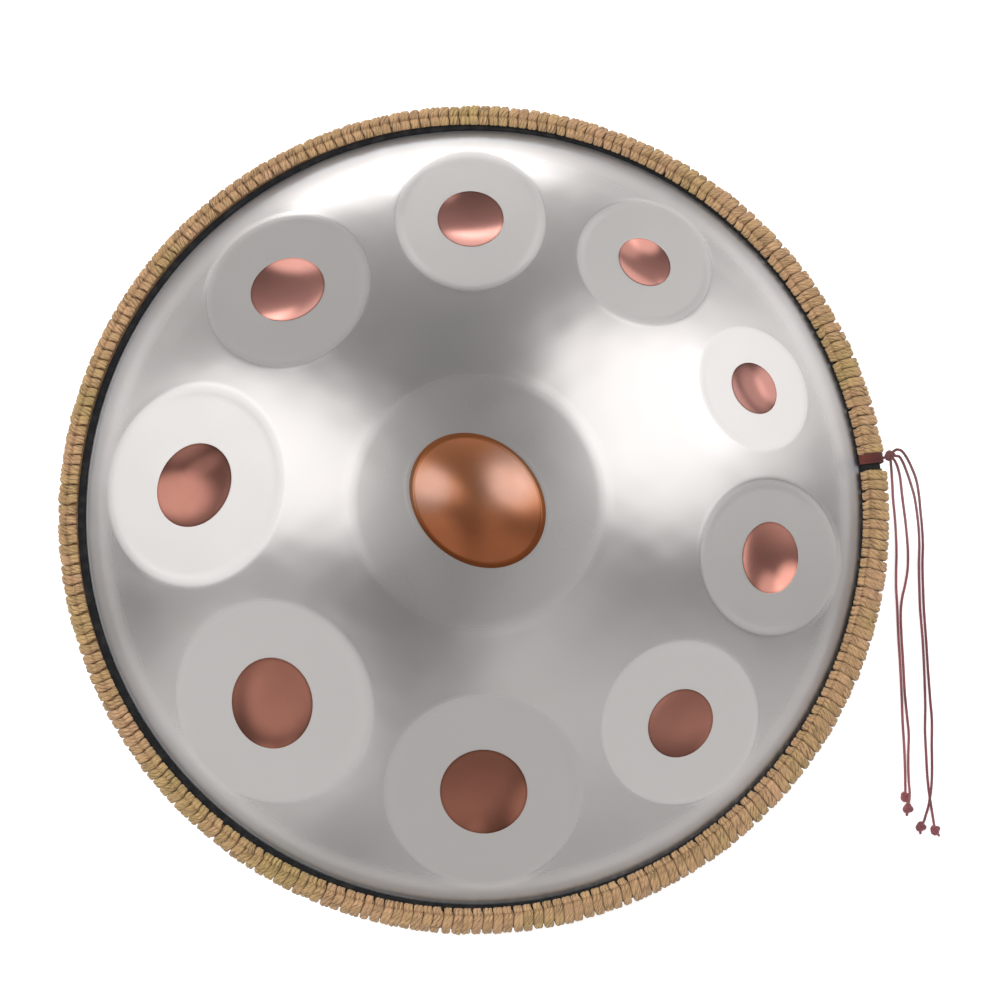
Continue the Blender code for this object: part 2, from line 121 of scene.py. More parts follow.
def rounded_max(a, b, blend):
    """The larger of two heights, with the corner between them rounded."""
    overlap = np.maximum(blend - np.abs(a - b), 0.0) / blend
    return np.maximum(a, b) + overlap * overlap * blend / 4


def bowl_height(radius, rise):
    """Height of a shell over its flange."""
    return rounded_max(cap_height(radius, rise), 0.0, ROOT_BLEND)


MID_PLANE = float(bowl_height(REST_OUTER, BOTTOM_RISE)) + FLANGE_HIGH
TOP_BASE = MID_PLANE + FLANGE_HIGH


def fade(value, start, end):
    """Smooth step from 1 at start to 0 at end."""
    t = np.clip((value - start) / (end - start), 0.0, 1.0)
    return 1 - t * t * (3 - 2 * t)


def turned(x, y, degrees):
    """Coordinates of (x, y) along and across an axis at this bearing."""
    c, s = math.cos(math.radians(degrees)), math.sin(math.radians(degrees))
    return x * c + y * s, y * c - x * s


def note_centre(note):
    """Plan coordinates of the field's centre."""
    angle = math.radians(note.bearing)
    return note.radius * math.cos(angle), note.radius * math.sin(angle)


def field_share(note, x, y):
    """0 at the field's centre, 1 on its outline; also the outward distance from its centre."""
    cx, cy = note_centre(note)
    out, across = turned(x - cx, y - cy, note.bearing)
    return np.hypot(out / note.radial, across / note.tangential), out


def dimple_turn(note):
    """Bearing of the dimple's long axis."""
    return note.bearing + 90 + note.twist


def dimple_share(note, x, y):
    """0 at the dimple's centre and 1 on its outline."""
    cx, cy = note_centre(note)
    along, across = turned(x - cx, y - cy, dimple_turn(note))
    return np.hypot(along / note.dimple_long, across / note.dimple_short)


def ding_share(x, y):
    """0 at the ding's centre and 1 on its outline."""
    along, across = turned(x, y, DING_TURN)
    return np.hypot(along / DING_LONG, across / DING_SHORT)


def field_plane(note, out):
    """Height of the note's flat, which cuts the dome so that its outline stays on the dome."""
    ball = (BOWL_RADIUS**2 + TOP_RISE**2) / (2 * TOP_RISE)
    slope = -note.radius / math.sqrt(ball**2 - note.radius**2)
    side = cap_height(math.hypot(note.radius, note.tangential), TOP_RISE)
    inner = cap_height(note.radius - note.radial, TOP_RISE) + slope * note.radial
    outer = cap_height(note.radius + note.radial, TOP_RISE) - slope * note.radial
    return (inner + outer + 2 * side) / 4 + slope * out


# Hammer work: many shallow waves, strongest between the fields.
HAMMER_WAVES = 48
HAMMER_LENGTHS = (0.016, 0.060)
HAMMER_SLOPE = 0.0016  # of each wave
HAMMER_IN_FIELDS = 0.35
hammer_dice = np.random.default_rng(11)
hammer_bearings = hammer_dice.uniform(0, 2 * math.pi, HAMMER_WAVES)
hammer_phases = hammer_dice.uniform(0, 2 * math.pi, HAMMER_WAVES)
hammer_lengths = hammer_dice.uniform(*HAMMER_LENGTHS, HAMMER_WAVES)

FIELD_BOW = 0.0005  # how far a tone field's flat crowns

LIP_HEIGHT = 0.00002  # rolled edge of the steel around each copper dome
LIP_PLACE = 1.035
LIP_WIDTH = 0.022

FOOT_START = 0.236  # beyond this radius the dome leans out to its foot
FOOT_SHIFT = (0.0021, 0.0010)  # how far the foot leans out: on average, and more towards +Y


def foot_shift(bearings):
    """How far the foot leans out at these bearings, in radians."""
    return FOOT_SHIFT[0] + FOOT_SHIFT[1] * np.sin(bearings)


def leaning(x, y):
    """The dome's own radius for a plan point near the rim, where the press left the wall less steep."""
    radius = np.hypot(x, y)
    ramp = np.maximum(radius - FOOT_START, 0) / (BOWL_RADIUS - FOOT_START)
    return radius - foot_shift(np.arctan2(y, x)) * ramp**2


def hammered(x, y):
    """Height of the hammer marks."""
    total = np.zeros_like(x)
    for bearing, phase, length in zip(hammer_bearings, hammer_phases, hammer_lengths):
        pace = 2 * math.pi / length
        wave = np.sin(pace * (x * math.cos(bearing) + y * math.sin(bearing)) + phase)
        total += HAMMER_SLOPE / pace * wave
    return total


def lip(share):
    """Height of the rolled edge around a copper dome."""
    return LIP_HEIGHT * np.exp(-(((share - LIP_PLACE) / LIP_WIDTH) ** 2))


def top_height(x, y):
    """Height of the top shell's outer face over its flange, dimples and ding dome included."""
    height = cap_height(leaning(x, y), TOP_RISE)
    flat = fade(np.hypot(x, y) / DING_FIELD_RADIUS, FIELD_FLAT, FIELD_EDGE)
    level = cap_height(DING_FIELD_RADIUS, TOP_RISE) + DING_FIELD_STEP
    bowed = level + DING_FIELD_BOW * (DING_FIELD_RADIUS**2 - x**2 - y**2)
    height = height + flat * (bowed - height)
    calm = flat
    for note in NOTES:
        share, out = field_share(note, x, y)
        flat = fade(share, FIELD_FLAT, FIELD_EDGE)
        bow = FIELD_BOW * np.maximum(1 - share**2, 0)
        height = height + flat * (field_plane(note, out) + bow - height)
        calm = np.maximum(calm, flat)
    height = height + hammered(x, y) * (1 - calm * (1 - HAMMER_IN_FIELDS))
    for note in NOTES:
        share = dimple_share(note, x, y)
        depth = DIMPLE_DEPTH_SHARE * note.dimple_short
        height = height - depth * np.maximum(1 - share**2, 0) + lip(share)
    share = ding_share(x, y)
    height = height + DING_HEIGHT * np.maximum(1 - (share / DING_BRIM) ** 2, 0) + lip(share)
    return rounded_max(height, 0.0, FOOT_BLEND)


SLOPE_STEP = 2e-5


def unit(vectors):
    return vectors / np.linalg.norm(vectors, axis=-1, keepdims=True)


def surface(x, y, lift):
    """Points lifted off the top shell's outer face along its normals, and those normals."""
    slope_x = (top_height(x + SLOPE_STEP, y) - top_height(x - SLOPE_STEP, y)) / (2 * SLOPE_STEP)
    slope_y = (top_height(x, y + SLOPE_STEP) - top_height(x, y - SLOPE_STEP)) / (2 * SLOPE_STEP)
    normals = unit(np.stack([-slope_x, -slope_y, np.ones_like(x)], axis=-1))
    points = np.stack([x, y, TOP_BASE + top_height(x, y)], axis=-1)
    return points + normals * np.asarray(lift)[..., None], normals


# ---- material building ----
def add_node(tree, kind, inputs=None, **settings):
    """Adds a node; each input is a value or another node's output."""
    made = tree.nodes.new(kind)
    for name, value in settings.items():
        setattr(made, name, value)
    for key, value in (inputs or {}).items():
        if isinstance(value, bpy.types.NodeSocket):
            tree.links.new(value, made.inputs[key])
        else:
            made.inputs[key].default_value = value
    return made


def arithmetic(tree, operation, *terms):
    made = add_node(tree, "ShaderNodeMath", dict(enumerate(terms)), operation=operation)
    return made.outputs[0]


def spread(tree, value, low, high, to_low=0.0, to_high=1.0):
    """Maps low..high of a value to another range, and clamps it."""
    inputs = {0: value, 1: low, 2: high, 3: to_low, 4: to_high}
    return add_node(tree, "ShaderNodeMapRange", inputs, clamp=True).outputs[0]


def blended(tree, share, first, second):
    """Mixes two colours; share 0 gives the first."""
    colours = {0: share, 6: first, 7: second}
    return add_node(tree, "ShaderNodeMix", colours, data_type="RGBA").outputs[2]


def noise(tree, place, scale, detail=2.0, roughness=0.5):
    inputs = {"Vector": place, "Scale": scale, "Detail": detail, "Roughness": roughness}
    return add_node(tree, "ShaderNodeTexNoise", inputs).outputs[0]


def object_place(tree):
    return add_node(tree, "ShaderNodeTexCoord").outputs["Object"]


def attribute(tree, name, output="Fac"):
    return add_node(tree, "ShaderNodeAttribute", attribute_name=name).outputs[output]


def scaled(tree, vector, factors):
    """Multiplies a place or a colour, part by part."""
    inputs = {0: vector, 1: factors}
    return add_node(tree, "ShaderNodeVectorMath", inputs, operation="MULTIPLY").outputs[0]


def bumped(tree, height, distance, strength=1.0):
    inputs = {"Height": height, "Distance": distance, "Strength": strength}
    return add_node(tree, "ShaderNodeBump", inputs).outputs[0]


def new_material(name, **constants):
    """A material, its node tree and its shader, with these constants on the shader's own sockets."""
    made = bpy.data.materials.new(name)
    made.use_nodes = True
    tree = made.node_tree
    shader = tree.nodes["Principled BSDF"]
    for key, value in constants.items():
        shader.inputs[key.replace("_", " ")].default_value = value
    return made, tree, shader


def feed(tree, shader, **sockets):
    for key, value in sockets.items():
        tree.links.new(value, shader.inputs[key.replace("_", " ")])


# ---- materials ----
STEEL_WARM = (0.675, 0.640, 0.622, 1)
STEEL_COOL = (0.625, 0.607, 0.598, 1)
STEEL_FROST = (0.76, 0.73, 0.715, 1)
STEEL_ROUGHNESS = (0.228, 0.280)
FROST_ROUGHNESS = 0.17  # added in the frosted fields
GRAIN_DEPTH = 0.00008


def make_steel():
    """Satin stainless steel, frosted in the tone fields."""
    made, tree, shader = new_material("satin_steel", Metallic=1.0)
    place = object_place(tree)
    frost = attribute(tree, "frost")
    cloud = noise(tree, place, 14.0, 1.0)
    streak = noise(tree, scaled(tree, place, (1.0, 1.0, 0.3)), 40.0, 0.0)
    grain = noise(tree, place, 1400.0, 1.0)
    plain = blended(tree, spread(tree, cloud, 0.1, 0.9), STEEL_WARM, STEEL_COOL)
    frosted = blended(tree, frost, plain, STEEL_FROST)
    # the shade attribute holds painted shade, light and reflection tints, multiplied into the colour
    colour = scaled(tree, frosted, attribute(tree, "painted_light", "Vector"))
    satin = spread(tree, arithmetic(tree, "ADD", cloud, streak), 0.2, 1.8, *STEEL_ROUGHNESS)
    roughness = arithmetic(tree, "MULTIPLY_ADD", frost, FROST_ROUGHNESS, satin)
    depth = spread(tree, frost, 0.3, 1.0, 0.0, 0.35)
    relief = bumped(tree, grain, GRAIN_DEPTH, depth)
    feed(tree, shader, Base_Color=colour, Roughness=roughness, Normal=relief)
    return made


def make_copper(name, light, dark, rim, roughness):
    """Satin copper, darker towards the edge of each dome."""
    made, tree, shader = new_material(name, Metallic=1.0)
    place = object_place(tree)
    cloud = noise(tree, place, 70.0, 4.0)
    scratch = noise(tree, scaled(tree, place, (1.0, 8.0, 1.0)), 900.0, 2.0)
    # darker towards each dome's rim; on the ding, the dark brim is painted shade
    edge = spread(tree, attribute(tree, "edge"), *rim)
    darkening = arithmetic(tree, "MULTIPLY_ADD", spread(tree, cloud, 0.35, 0.75), 0.15, edge)
    metal = blended(tree, arithmetic(tree, "MINIMUM", darkening, 1.0), light, dark)
    # the shade attribute holds each dome's painted shade and highlights, multiplied into the colour
    colour = scaled(tree, metal, attribute(tree, "painted_light", "Vector"))
    satin = spread(tree, arithmetic(tree, "ADD", cloud, scratch), 0.7, 1.3, *roughness)
    feed(tree, shader, Base_Color=colour, Roughness=satin)
    return made


def make_rubber():
    made, tree, shader = new_material("black_rubber", Metallic=0.0, Specular_IOR_Level=0.25)
    place = object_place(tree)
    dust = spread(tree, noise(tree, place, 160.0, 4.0), 0.45, 0.8)
    colour = blended(tree, dust, (0.005, 0.005, 0.006, 1), (0.022, 0.020, 0.018, 1))
    roughness = spread(tree, noise(tree, place, 45.0, 3.0), 0.3, 0.7, 0.42, 0.62)
    relief = bumped(tree, noise(tree, place, 1500.0, 2.0), 0.00006)
    feed(tree, shader, Base_Color=colour, Roughness=roughness, Normal=relief)
    return made


def make_glue():
    made, tree, shader = new_material("glue_bead", Metallic=0.0)
    place = object_place(tree)
    colour = blended(tree, noise(tree, place, 90.0, 3.0), (0.42, 0.38, 0.30, 1), (0.62, 0.58, 0.48, 1))
    roughness = spread(tree, noise(tree, place, 240.0, 2.0), 0.3, 0.7, 0.3, 0.5)
    feed(tree, shader, Base_Color=colour, Roughness=roughness)
    return made


FIBRE_SHAPE = (0.06, 1.0, 1.0)  # fibres are long along the strand


def make_fibrous(name, colours, sheen, fibre_scale, relief_depth, shadow):
    """Twisted fibre: three colours in patches, fine strands along the fibre attribute, and soft sheen."""
    weight, sheen_tint = sheen
    soft = {"Roughness": 0.85, "Sheen_Roughness": 0.5, "Sheen_Weight": weight, "Sheen_Tint": sheen_tint}
    made, tree, shader = new_material(name, Metallic=0.0, **soft)
    place = object_place(tree)
    strands = scaled(tree, attribute(tree, "fibre", "Vector"), FIBRE_SHAPE)
    fine = noise(tree, strands, fibre_scale, 3.0, 0.6)
    tint = attribute(tree, "tint")
    patch = spread(tree, noise(tree, place, 38.0, 2.0), 0.40, 0.64)
    blotch = arithmetic(tree, "MULTIPLY_ADD", tint, 0.7, arithmetic(tree, "MULTIPLY", patch, 0.3))
    base = blended(tree, blotch, colours[0], colours[1])
    drift = spread(tree, noise(tree, place, 23.0, 2.0), 0.50, 0.70)
    base = blended(tree, drift, base, colours[2])
    # fine fibre lines darkened down to the shadow share: partly the twine's own fibres, partly painted shade
    # between them
    dark = spread(tree, fine, 0.36, 0.56, shadow, 1.0)
    relief = bumped(tree, fine, relief_depth)
    feed(tree, shader, Base_Color=scaled(tree, base, dark), Normal=relief)
    return made


TWINE_COLOURS = ((0.465, 0.295, 0.138, 1), (0.535, 0.315, 0.180, 1), (0.455, 0.312, 0.128, 1))
CORD_COLOURS = ((0.13, 0.040, 0.045, 1), (0.38, 0.12, 0.13, 1), (0.15, 0.060, 0.055, 1))
BINDING_COLOURS = ((0.12, 0.028, 0.020, 1), (0.16, 0.040, 0.030, 1), (0.09, 0.022, 0.022, 1))
# dark twine colours for the core: painted shade in the gaps between strands
CORE_SHADE_COLOURS = ((0.16, 0.085, 0.035, 1), (0.20, 0.10, 0.045, 1), (0.13, 0.075, 0.028, 1))

DIMPLE_COLOURS = ((0.49, 0.22, 0.175, 1), (0.34, 0.14, 0.10, 1))
DIMPLE_RIM = (0.93, 1.0)  # shares of the outline between which the copper darkens
DIMPLE_ROUGHNESS = (0.15, 0.21)
DING_COLOURS = ((0.58, 0.27, 0.165, 1), (0.40, 0.17, 0.085, 1))
# the ding darkens to its flat brim over these shares: painted shade
DING_RIM = (0.898, 0.916)
DING_ROUGHNESS = (0.28, 0.33)
ROPE_FIBRES = 1500.0  # scale of the noise in the twine
CORD_FIBRES = 4200.0

steel = make_steel()
copper = make_copper("dimple_copper", *DIMPLE_COLOURS, DIMPLE_RIM, DIMPLE_ROUGHNESS)
bronze = make_copper("ding_copper", *DING_COLOURS, DING_RIM, DING_ROUGHNESS)
rubber = make_rubber()
twine = make_fibrous("tan_twine", TWINE_COLOURS, (0.2, (0.9, 0.8, 0.65, 1)), ROPE_FIBRES, 0.0008, 0.30)
core = make_fibrous("rope_core_shade", CORE_SHADE_COLOURS, (0.0, (1, 1, 1, 1)), ROPE_FIBRES, 0.0003, 0.5)
thread = make_fibrous("maroon_cord", CORD_COLOURS, (0.5, (0.85, 0.5, 0.6, 1)), CORD_FIBRES, 0.0002, 0.6)
binding = make_fibrous("binding_cord", BINDING_COLOURS, (0.2, (0.8, 0.5, 0.45, 1)), CORD_FIBRES, 0.0002, 0.6)


# ---- pieces ----
def placed(name, data):
    """An object with this data, in the scene."""
    made = bpy.data.objects.new(name, data)
    bpy.context.collection.objects.link(made)
    return made


def add_piece(name, shape, look, node, normals=None):
    """Makes a smooth mesh that rides on the pan and stands for a CAD node.

    The shape is its vertices, its faces and its attributes by name.
    """
    vertices, faces, attributes = shape
    mesh = bpy.data.meshes.new(name)
    mesh.from_pydata(vertices, [], faces)
    mesh.shade_smooth()
    for key, values in attributes.items():
        values = np.asarray(values, dtype=np.float32)
        kind = "FLOAT" if values.ndim == 1 else "FLOAT_VECTOR"
        slot_name = "value" if values.ndim == 1 else "vector"
        mesh.attributes.new(key, kind, "POINT").data.foreach_set(slot_name, values.ravel())
    if normals is not None:
        mesh.normals_split_custom_set_from_vertices(normals)
    mesh.materials.append(look)
    made = placed(name, mesh)
    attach(made, "root")
    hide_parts(node)
    return made


def lathe(profile, sides, start=None, end=None):
    """Turns a closed (radius, z) profile about Z, all the way round or as an arc with flat ends."""
    whole = start is None
    bearings = np.linspace(0, 360, sides, endpoint=False) if whole else np.linspace(start, end, sides)
    angles = np.radians(bearings)
    count = len(profile)
    radii, heights = np.array(profile).T
    x, y = np.outer(np.cos(angles), radii), np.outer(np.sin(angles), radii)
    rings = np.stack([x, y, np.broadcast_to(heights, x.shape)], axis=-1)
    faces = []
    for i in range(sides if whole else sides - 1):
        near, far = i * count, (i + 1) % sides * count
        for a in range(count):
            b = (a + 1) % count
            faces.append((near + a, near + b, far + b, far + a))
    if not whole:
        faces.append(tuple(range(count))[::-1])
        faces.append(tuple(range((sides - 1) * count, sides * count)))
    return rings.reshape(-1, 3), faces


def arc(cx, cz, radius, start, end, steps):
    """Points of a circular arc in a (radius, z) profile; angles in degrees from outwards to up."""
    angles = [math.radians(start + (end - start) * i / steps) for i in range(steps + 1)]
    return [(cx + radius * math.cos(a), cz + radius * math.sin(a)) for a in angles]


# ---- tubes: twine, cords and knots ----
def smoothed(points, per_leg):
    """Catmull-Rom curves through points, which is curves x points x 3."""
    before = 2 * points[:, :1] - points[:, 1:2]
    after = 2 * points[:, -1:] - points[:, -2:-1]
    full = np.concatenate([before, points, after], axis=1)
    a, b, c, d = full[:, :-3], full[:, 1:-2], full[:, 2:-1], full[:, 3:]
    t = (np.arange(per_leg) / per_leg)[None, None, :, None]
    a, b, c, d = (p[:, :, None] for p in (a, b, c, d))
    dense = (2 * b + (c - a) * t + (2 * a - 5 * b + 4 * c - d) * t**2 + (3 * b - a - 3 * c + d) * t**3) / 2
    return np.concatenate([dense.reshape(len(points), -1, 3), points[:, -1:]], axis=1)


class Twist(NamedTuple):
    """Cross-section of a twisted strand: number of plies, how far they stand out, turns per metre."""

    plies: int
    lobe: float
    turns: float


FIBRE_STEP = 0.37  # offset between the fibres of one tube and the next


def tubes(paths, radius, sides, twist, tints, lead=(0.6, 0.0, 0.8), flat=1.0):
    """Vertices, faces and attributes of closed tubes along paths, which is tubes x points x 3.

    The lead points to the tube's first side, and flat is its thickness across that, as a share.
    """
    count, points = paths.shape[:2]
    tangents = unit(np.gradient(paths, axis=1))
    normal = np.broadcast_to(np.asarray(lead, dtype=float), (count, 3))
    normals = np.empty_like(paths)
    for i in range(points):
        tangent = tangents[:, i]
        normal = unit(normal - (normal * tangent).sum(-1, keepdims=True) * tangent)
        normals[:, i] = normal
    binormals = np.cross(tangents, normals)
    steps = np.linalg.norm(np.diff(paths, axis=1), axis=2)
    along = np.concatenate([np.zeros((count, 1)), np.cumsum(steps, axis=1)], axis=1)
    angles = np.arange(sides) * 2 * math.pi / sides
    ply = angles[None, None] - 2 * math.pi * twist.turns * along[..., None]
    radii = np.broadcast_to(np.asarray(radius, dtype=float), (count, points))[..., None]
    radii = radii * (1 + twist.lobe * np.cos(twist.plies * ply))
    side, face = np.cos(angles)[:, None], flat * np.sin(angles)[:, None]
    around = side * normals[:, :, None] + face * binormals[:, :, None]
    vertices = paths[:, :, None] + radii[..., None] * around
    offset = np.arange(count)[:, None, None] * FIBRE_STEP
    length = along[..., None] + offset + 0 * ply
    fibre = np.stack([length, radii * np.cos(ply), radii * np.sin(ply)], axis=-1)
    tint = np.repeat(tints, points * sides)
    quads, caps = tube_faces(count, points, sides)
    attributes = {"fibre": fibre.reshape(-1, 3), "tint": tint}
    return vertices.reshape(-1, 3), quads + caps, attributes


def tube_faces(count, points, sides):
    """Sides and end caps of tubes, in the order of their vertices."""
    ring = np.arange(sides)
    following = (ring + 1) % sides
    starts = (np.arange(count)[:, None] * points + np.arange(points - 1)[None]).reshape(-1, 1) * sides
    corners = [starts + ring, starts + following, starts + sides + following, starts + sides + ring]
    quads = np.stack(corners, axis=-1)
    caps = []
    for i in range(count):
        first, last = i * points * sides, ((i + 1) * points - 1) * sides
        caps.append((first + ring[::-1]).tolist())
        caps.append((last + ring).tolist())
    return quads.reshape(-1, 4).tolist(), caps


def joined(parts):
    """Several (vertices, faces, attributes) as one."""
    vertices, faces, attributes, first = [], [], {}, 0
    for points, polygons, values in parts:
        vertices.append(points)
        faces += [[first + i for i in polygon] for polygon in polygons]
        for key, value in values.items():
            attributes.setdefault(key, []).append(value)
        first += len(points)
    return np.concatenate(vertices), faces, {k: np.concatenate(v) for k, v in attributes.items()}


def rounded_ends(paths, share=0.5):
    """Shares of the radius along tubes whose two ends close to a blunt tip."""
    shares = np.ones(paths.shape[1])
    shares[[0, -1]] = share
    shares[[1, -2]] = (1 + share) / 2
    return shares


# ---- camera ----
TARGET = Vector((0.0, 0.0, 0.110))
CAMERA_ASIDE = (-0.024, -0.126)
CAMERA_DISTANCE = 1.5
LENS = 78.55
SHIFT = (0.0250, 0.0135)


def make_camera():
    """Looks almost straight down on the pan, with +Y up in the picture."""
    aside = Vector(CAMERA_ASIDE)
    rise = math.sqrt(CAMERA_DISTANCE**2 - aside.length_squared)
    place = TARGET + Vector((*aside, rise))
    ahead = (TARGET - place).normalized()
    right = ahead.cross(Vector((0, 1, 0))).normalized()
    up = right.cross(ahead)
    camera = bpy.data.cameras.new("camera")
    camera.lens = LENS
    camera.sensor_width = 36.0
    camera.shift_x, camera.shift_y = SHIFT
    made = placed("camera", camera)
    made.matrix_world = Matrix.Translation(place) @ Matrix((right, up, -ahead)).transposed().to_4x4()
    bpy.context.scene.camera = made


make_camera()

# ---- tail cords ----
LIE = CORD_DIAMETER / 2 + GAP
EXIT_KNOT = ((0.2860, 0.0402, 0.1130), 8.0)


class Tail(NamedTuple):
    """A tail cord: its length, the centre and turn of its end knot, its tint and its route.

    The route is in millimetres, and a point without a height lies on the surface.
    """

    name: str
    length: float
    knot: tuple
    turn: float
    tint: float
    route: tuple


TAILS = (
    Tail("cord_inner_left", 0.30, (0.3162, -0.1982, 0.0035), 12, 0.9, (
        (287, 36, 111.4), (288, 31.5, 108), (290, 26.5, 100), (293, 21, 87), (297.5, 14, 67),
        (303.5, 4, 43), (309, -8, 20), (312, -20.5, 6.5), (312.5, -33, 2), (312.5, -46), (313, -59),
        (313.5, -80), (314.5, -102), (315.2, -123), (315.6, -143), (316.4, -161), (316.8, -177),
        (316.8, -187), (316.6, -193.8, 2.2),
    )),
    Tail("cord_inner_right", 0.315, (0.3180, -0.2068, 0.0037), -20, 0.8, (
        (289.2, 37, 113.6), (291.5, 32.5, 112), (295, 26.5, 103), (299, 20, 88), (304.5, 12, 67),
        (311, 2, 43), (317, -8.5, 20), (320.5, -20, 6.5), (321, -32, 2), (319.2, -43), (316.8, -53),
        (315.6, -64), (315.8, -80), (316.8, -102), (317.6, -123), (319, -140), (320, -153),
        (319.4, -168), (319.2, -180, 1.6), (318.9, -188, 4), (318.6, -195, 7.6), (318.3, -200, 7.2),
        (318.2, -202.4, 5.8),
    )),
    Tail("cord_outer_left", 0.335, (0.3376, -0.2224, 0.0037), 25, 0.4, (
        (290, 39.8, 115.2), (291.8, 39, 117), (294, 36, 116.2), (297.8, 30.5, 110),
        (303.5, 23.5, 96.5), (310.8, 15.5, 75.5), (317.8, 6.5, 51), (324.2, -4, 27), (328.2, -15, 10),
        (329.3, -27.5, 2.8), (329.6, -40), (329.9, -60), (331.4, -84), (332.2, -108), (332.5, -132),
        (332, -150), (332.5, -167), (333, -182), (334, -194), (335.5, -205), (336.6, -213, 1.5),
        (337, -217.2, 2.2),
    )),
    Tail("cord_outer_right", 0.345, (0.3272, -0.2200, 0.0037), -15, 0.2, (
        (288, 42.8, 116.4), (290, 43.8, 118.8), (293, 42.5, 120.2), (296.5, 38.2, 118.8),
        (301.2, 32.5, 111.5), (307.6, 25.3, 96.8), (314.1, 17, 75.2), (320.3, 8, 51.2),
        (326.4, -2.5, 28.2), (330.6, -14, 11.2), (331.9, -26.5, 3), (332.3, -40), (332.7, -60),
        (334, -84), (335, -106), (336.2, -127), (337.2, -143), (336.8, -160), (336.6, -174, 2),
        (336, -185, 3.2), (334.8, -195, 4.1), (333, -205, 3.6), (330.8, -213, 2.4), (329.9, -216, 2.4),
    )),
)


def metres(points):
    """A route in metres, with the heights that were left out."""
    whole = [(*point, 1000 * LIE)[:3] for point in points]
    return [tuple(round(value / 1000, 7) for value in point) for point in whole]


CORD_SIDES = 12
CORD_TWIST = Twist(3, 0.07, 210.0)
ROUTE_LEG = 24

KNOT_LOOP = 0.00098  # a third of the distance from an overhand knot's middle to its outermost centreline
KNOT_RISE = 0.0011
KNOT_CORD = 0.00118  # half-thickness of the cord in a knot, where it bulges
KNOT_STEPS = 96
KNOT_TAIL = 0.0046
KNOT_TILT = 18.0
KNOT_LEG = 6  # steps between the points of a knot's ends
END_TAIL = -80  # degrees from an end knot's turn to its cut end
EXIT_TINT = 0.5
EXIT_TAIL = 192
EXIT_TILT = 40
TAIL_SHARES = (0.4, 0.8, 1.0, 1.2)  # of KNOT_TAIL, at the points of a cut end
TAIL_SLOPE = -0.12
CUT_SHARE = 0.8  # of the cord's radius, at a cut end
LEAD_SHARES = (0, 0.35, 0.7, 1)


def knot_path(centre, degrees, tilt):
    """An overhand knot drawn tight: a closed trefoil."""
    t = np.linspace(0, 2 * math.pi, KNOT_STEPS)
    reach = 2 + np.cos(3 * t)
    flat = np.stack([reach * np.cos(2 * t), reach * np.sin(2 * t), np.sin(3 * t)], axis=-1)
    local = flat * (KNOT_LOOP, KNOT_LOOP, KNOT_RISE)
    turn = Matrix.Rotation(math.radians(degrees), 3, "Z") @ Matrix.Rotation(math.radians(tilt), 3, "X")
    return (local @ np.array(turn).T + np.array(centre))[None]


def tail_path(centre, degrees):
    """The cut end that sticks out of a knot."""
    c, s = math.cos(math.radians(degrees)), math.sin(math.radians(degrees))
    reach = np.array(TAIL_SHARES)[:, None] * KNOT_TAIL
    return np.array(centre) + reach * np.array([c, s, TAIL_SLOPE])


def lead_path(start, centre):
    """From a cord's end into the middle of its knot."""
    start, centre = np.array(start), np.array(centre)
    return start + np.array(LEAD_SHARES)[:, None] * (centre - start)


def add_knot(name, centre, degrees, tint, tail, leads, tilt):
    """A tied knot with its cut end, and the cords that run into it from the leads.

    The tail is the angle from the knot's own turn to its cut end.
    """
    loop = tubes(knot_path(centre, degrees, tilt), KNOT_CORD, CORD_SIDES, CORD_TWIST, np.array([tint]))
    parts = [loop]
    for points in [tail_path(centre, degrees + tail)] + [lead_path(start, centre) for start in leads]:
        end = smoothed(points[None], KNOT_LEG)
        radii = CORD_DIAMETER / 2 * rounded_ends(end, CUT_SHARE)
        parts.append(tubes(end, radii, CORD_SIDES, CORD_TWIST, np.array([tint])))
    return add_piece(name + "_tied", joined(parts), thread, name)


def add_cord(tail):
    """One tail cord with the knot that ends it."""
    name, route = tail.name, metres(tail.route)
    path = smoothed(np.array(route)[None], ROUTE_LEG)
    path[..., 2] = np.maximum(path[..., 2], LIE)
    shape = tubes(path, CORD_DIAMETER / 2, CORD_SIDES, CORD_TWIST, np.array([tail.tint]))
    made = add_piece(name + "_twisted", shape, thread, name)
    knot = add_knot(name + "_knot", tail.knot, tail.turn, tail.tint, END_TAIL, route[-1:], KNOT_TILT)


for tail_cord in TAILS:
    add_cord(tail_cord)
exits = [metres(tail_cord.route)[0] for tail_cord in TAILS]
add_knot("binding_knot", *EXIT_KNOT, EXIT_TINT, EXIT_TAIL, exits, EXIT_TILT)


# ---- top shell ----
RING_SPACING = 0.0030
LOOSE_SPACING = 0.0038
LOOSE_CLEARANCE = 0.0026
FIELD_RINGS = (0.80, FIELD_FLAT, 0.92, 0.985, 1.015, 1.05, FIELD_EDGE, 1.13)
FROST_EDGE = (0.985, 1.015)
DIMPLE_RINGS = (0.55, 0.85, 1.0, 1.012, 1.03, 1.055, 1.09)
DING_RINGS = (0.3, 0.6, 0.85, DING_BRIM, 1.0, 1.012, 1.03, 1.055, 1.09)
# Radii of the rings around the dome's foot, from BOWL_RADIUS.
ROOT_OFFSETS = (-0.0044, -0.0030, -0.0018, -0.0008, 0.0, 0.0008, 0.0016, 0.0024, 0.0032, 0.0040, 0.0052)
DING_FIELD_FROST = 0.15
FOOT_FROST = 0.8
FOOT_FROST_SPAN = (0.244, 0.258)
FOOT_REFLECTION_TINT = (0.93, 0.98, 1.04)  # painted reflection: a cooler tint next to the rim, so that the rope's brown reflection turns grey
FOOT_REFLECTION_TINT_SPAN = (0.254, 0.262)
FIELD_PAINTED_SHADES = (0.88, 0.94, 1.04, 0.99, 0.90, 0.74, 0.97, 0.85, 0.82)  # painted shade and light of each field, as NOTES


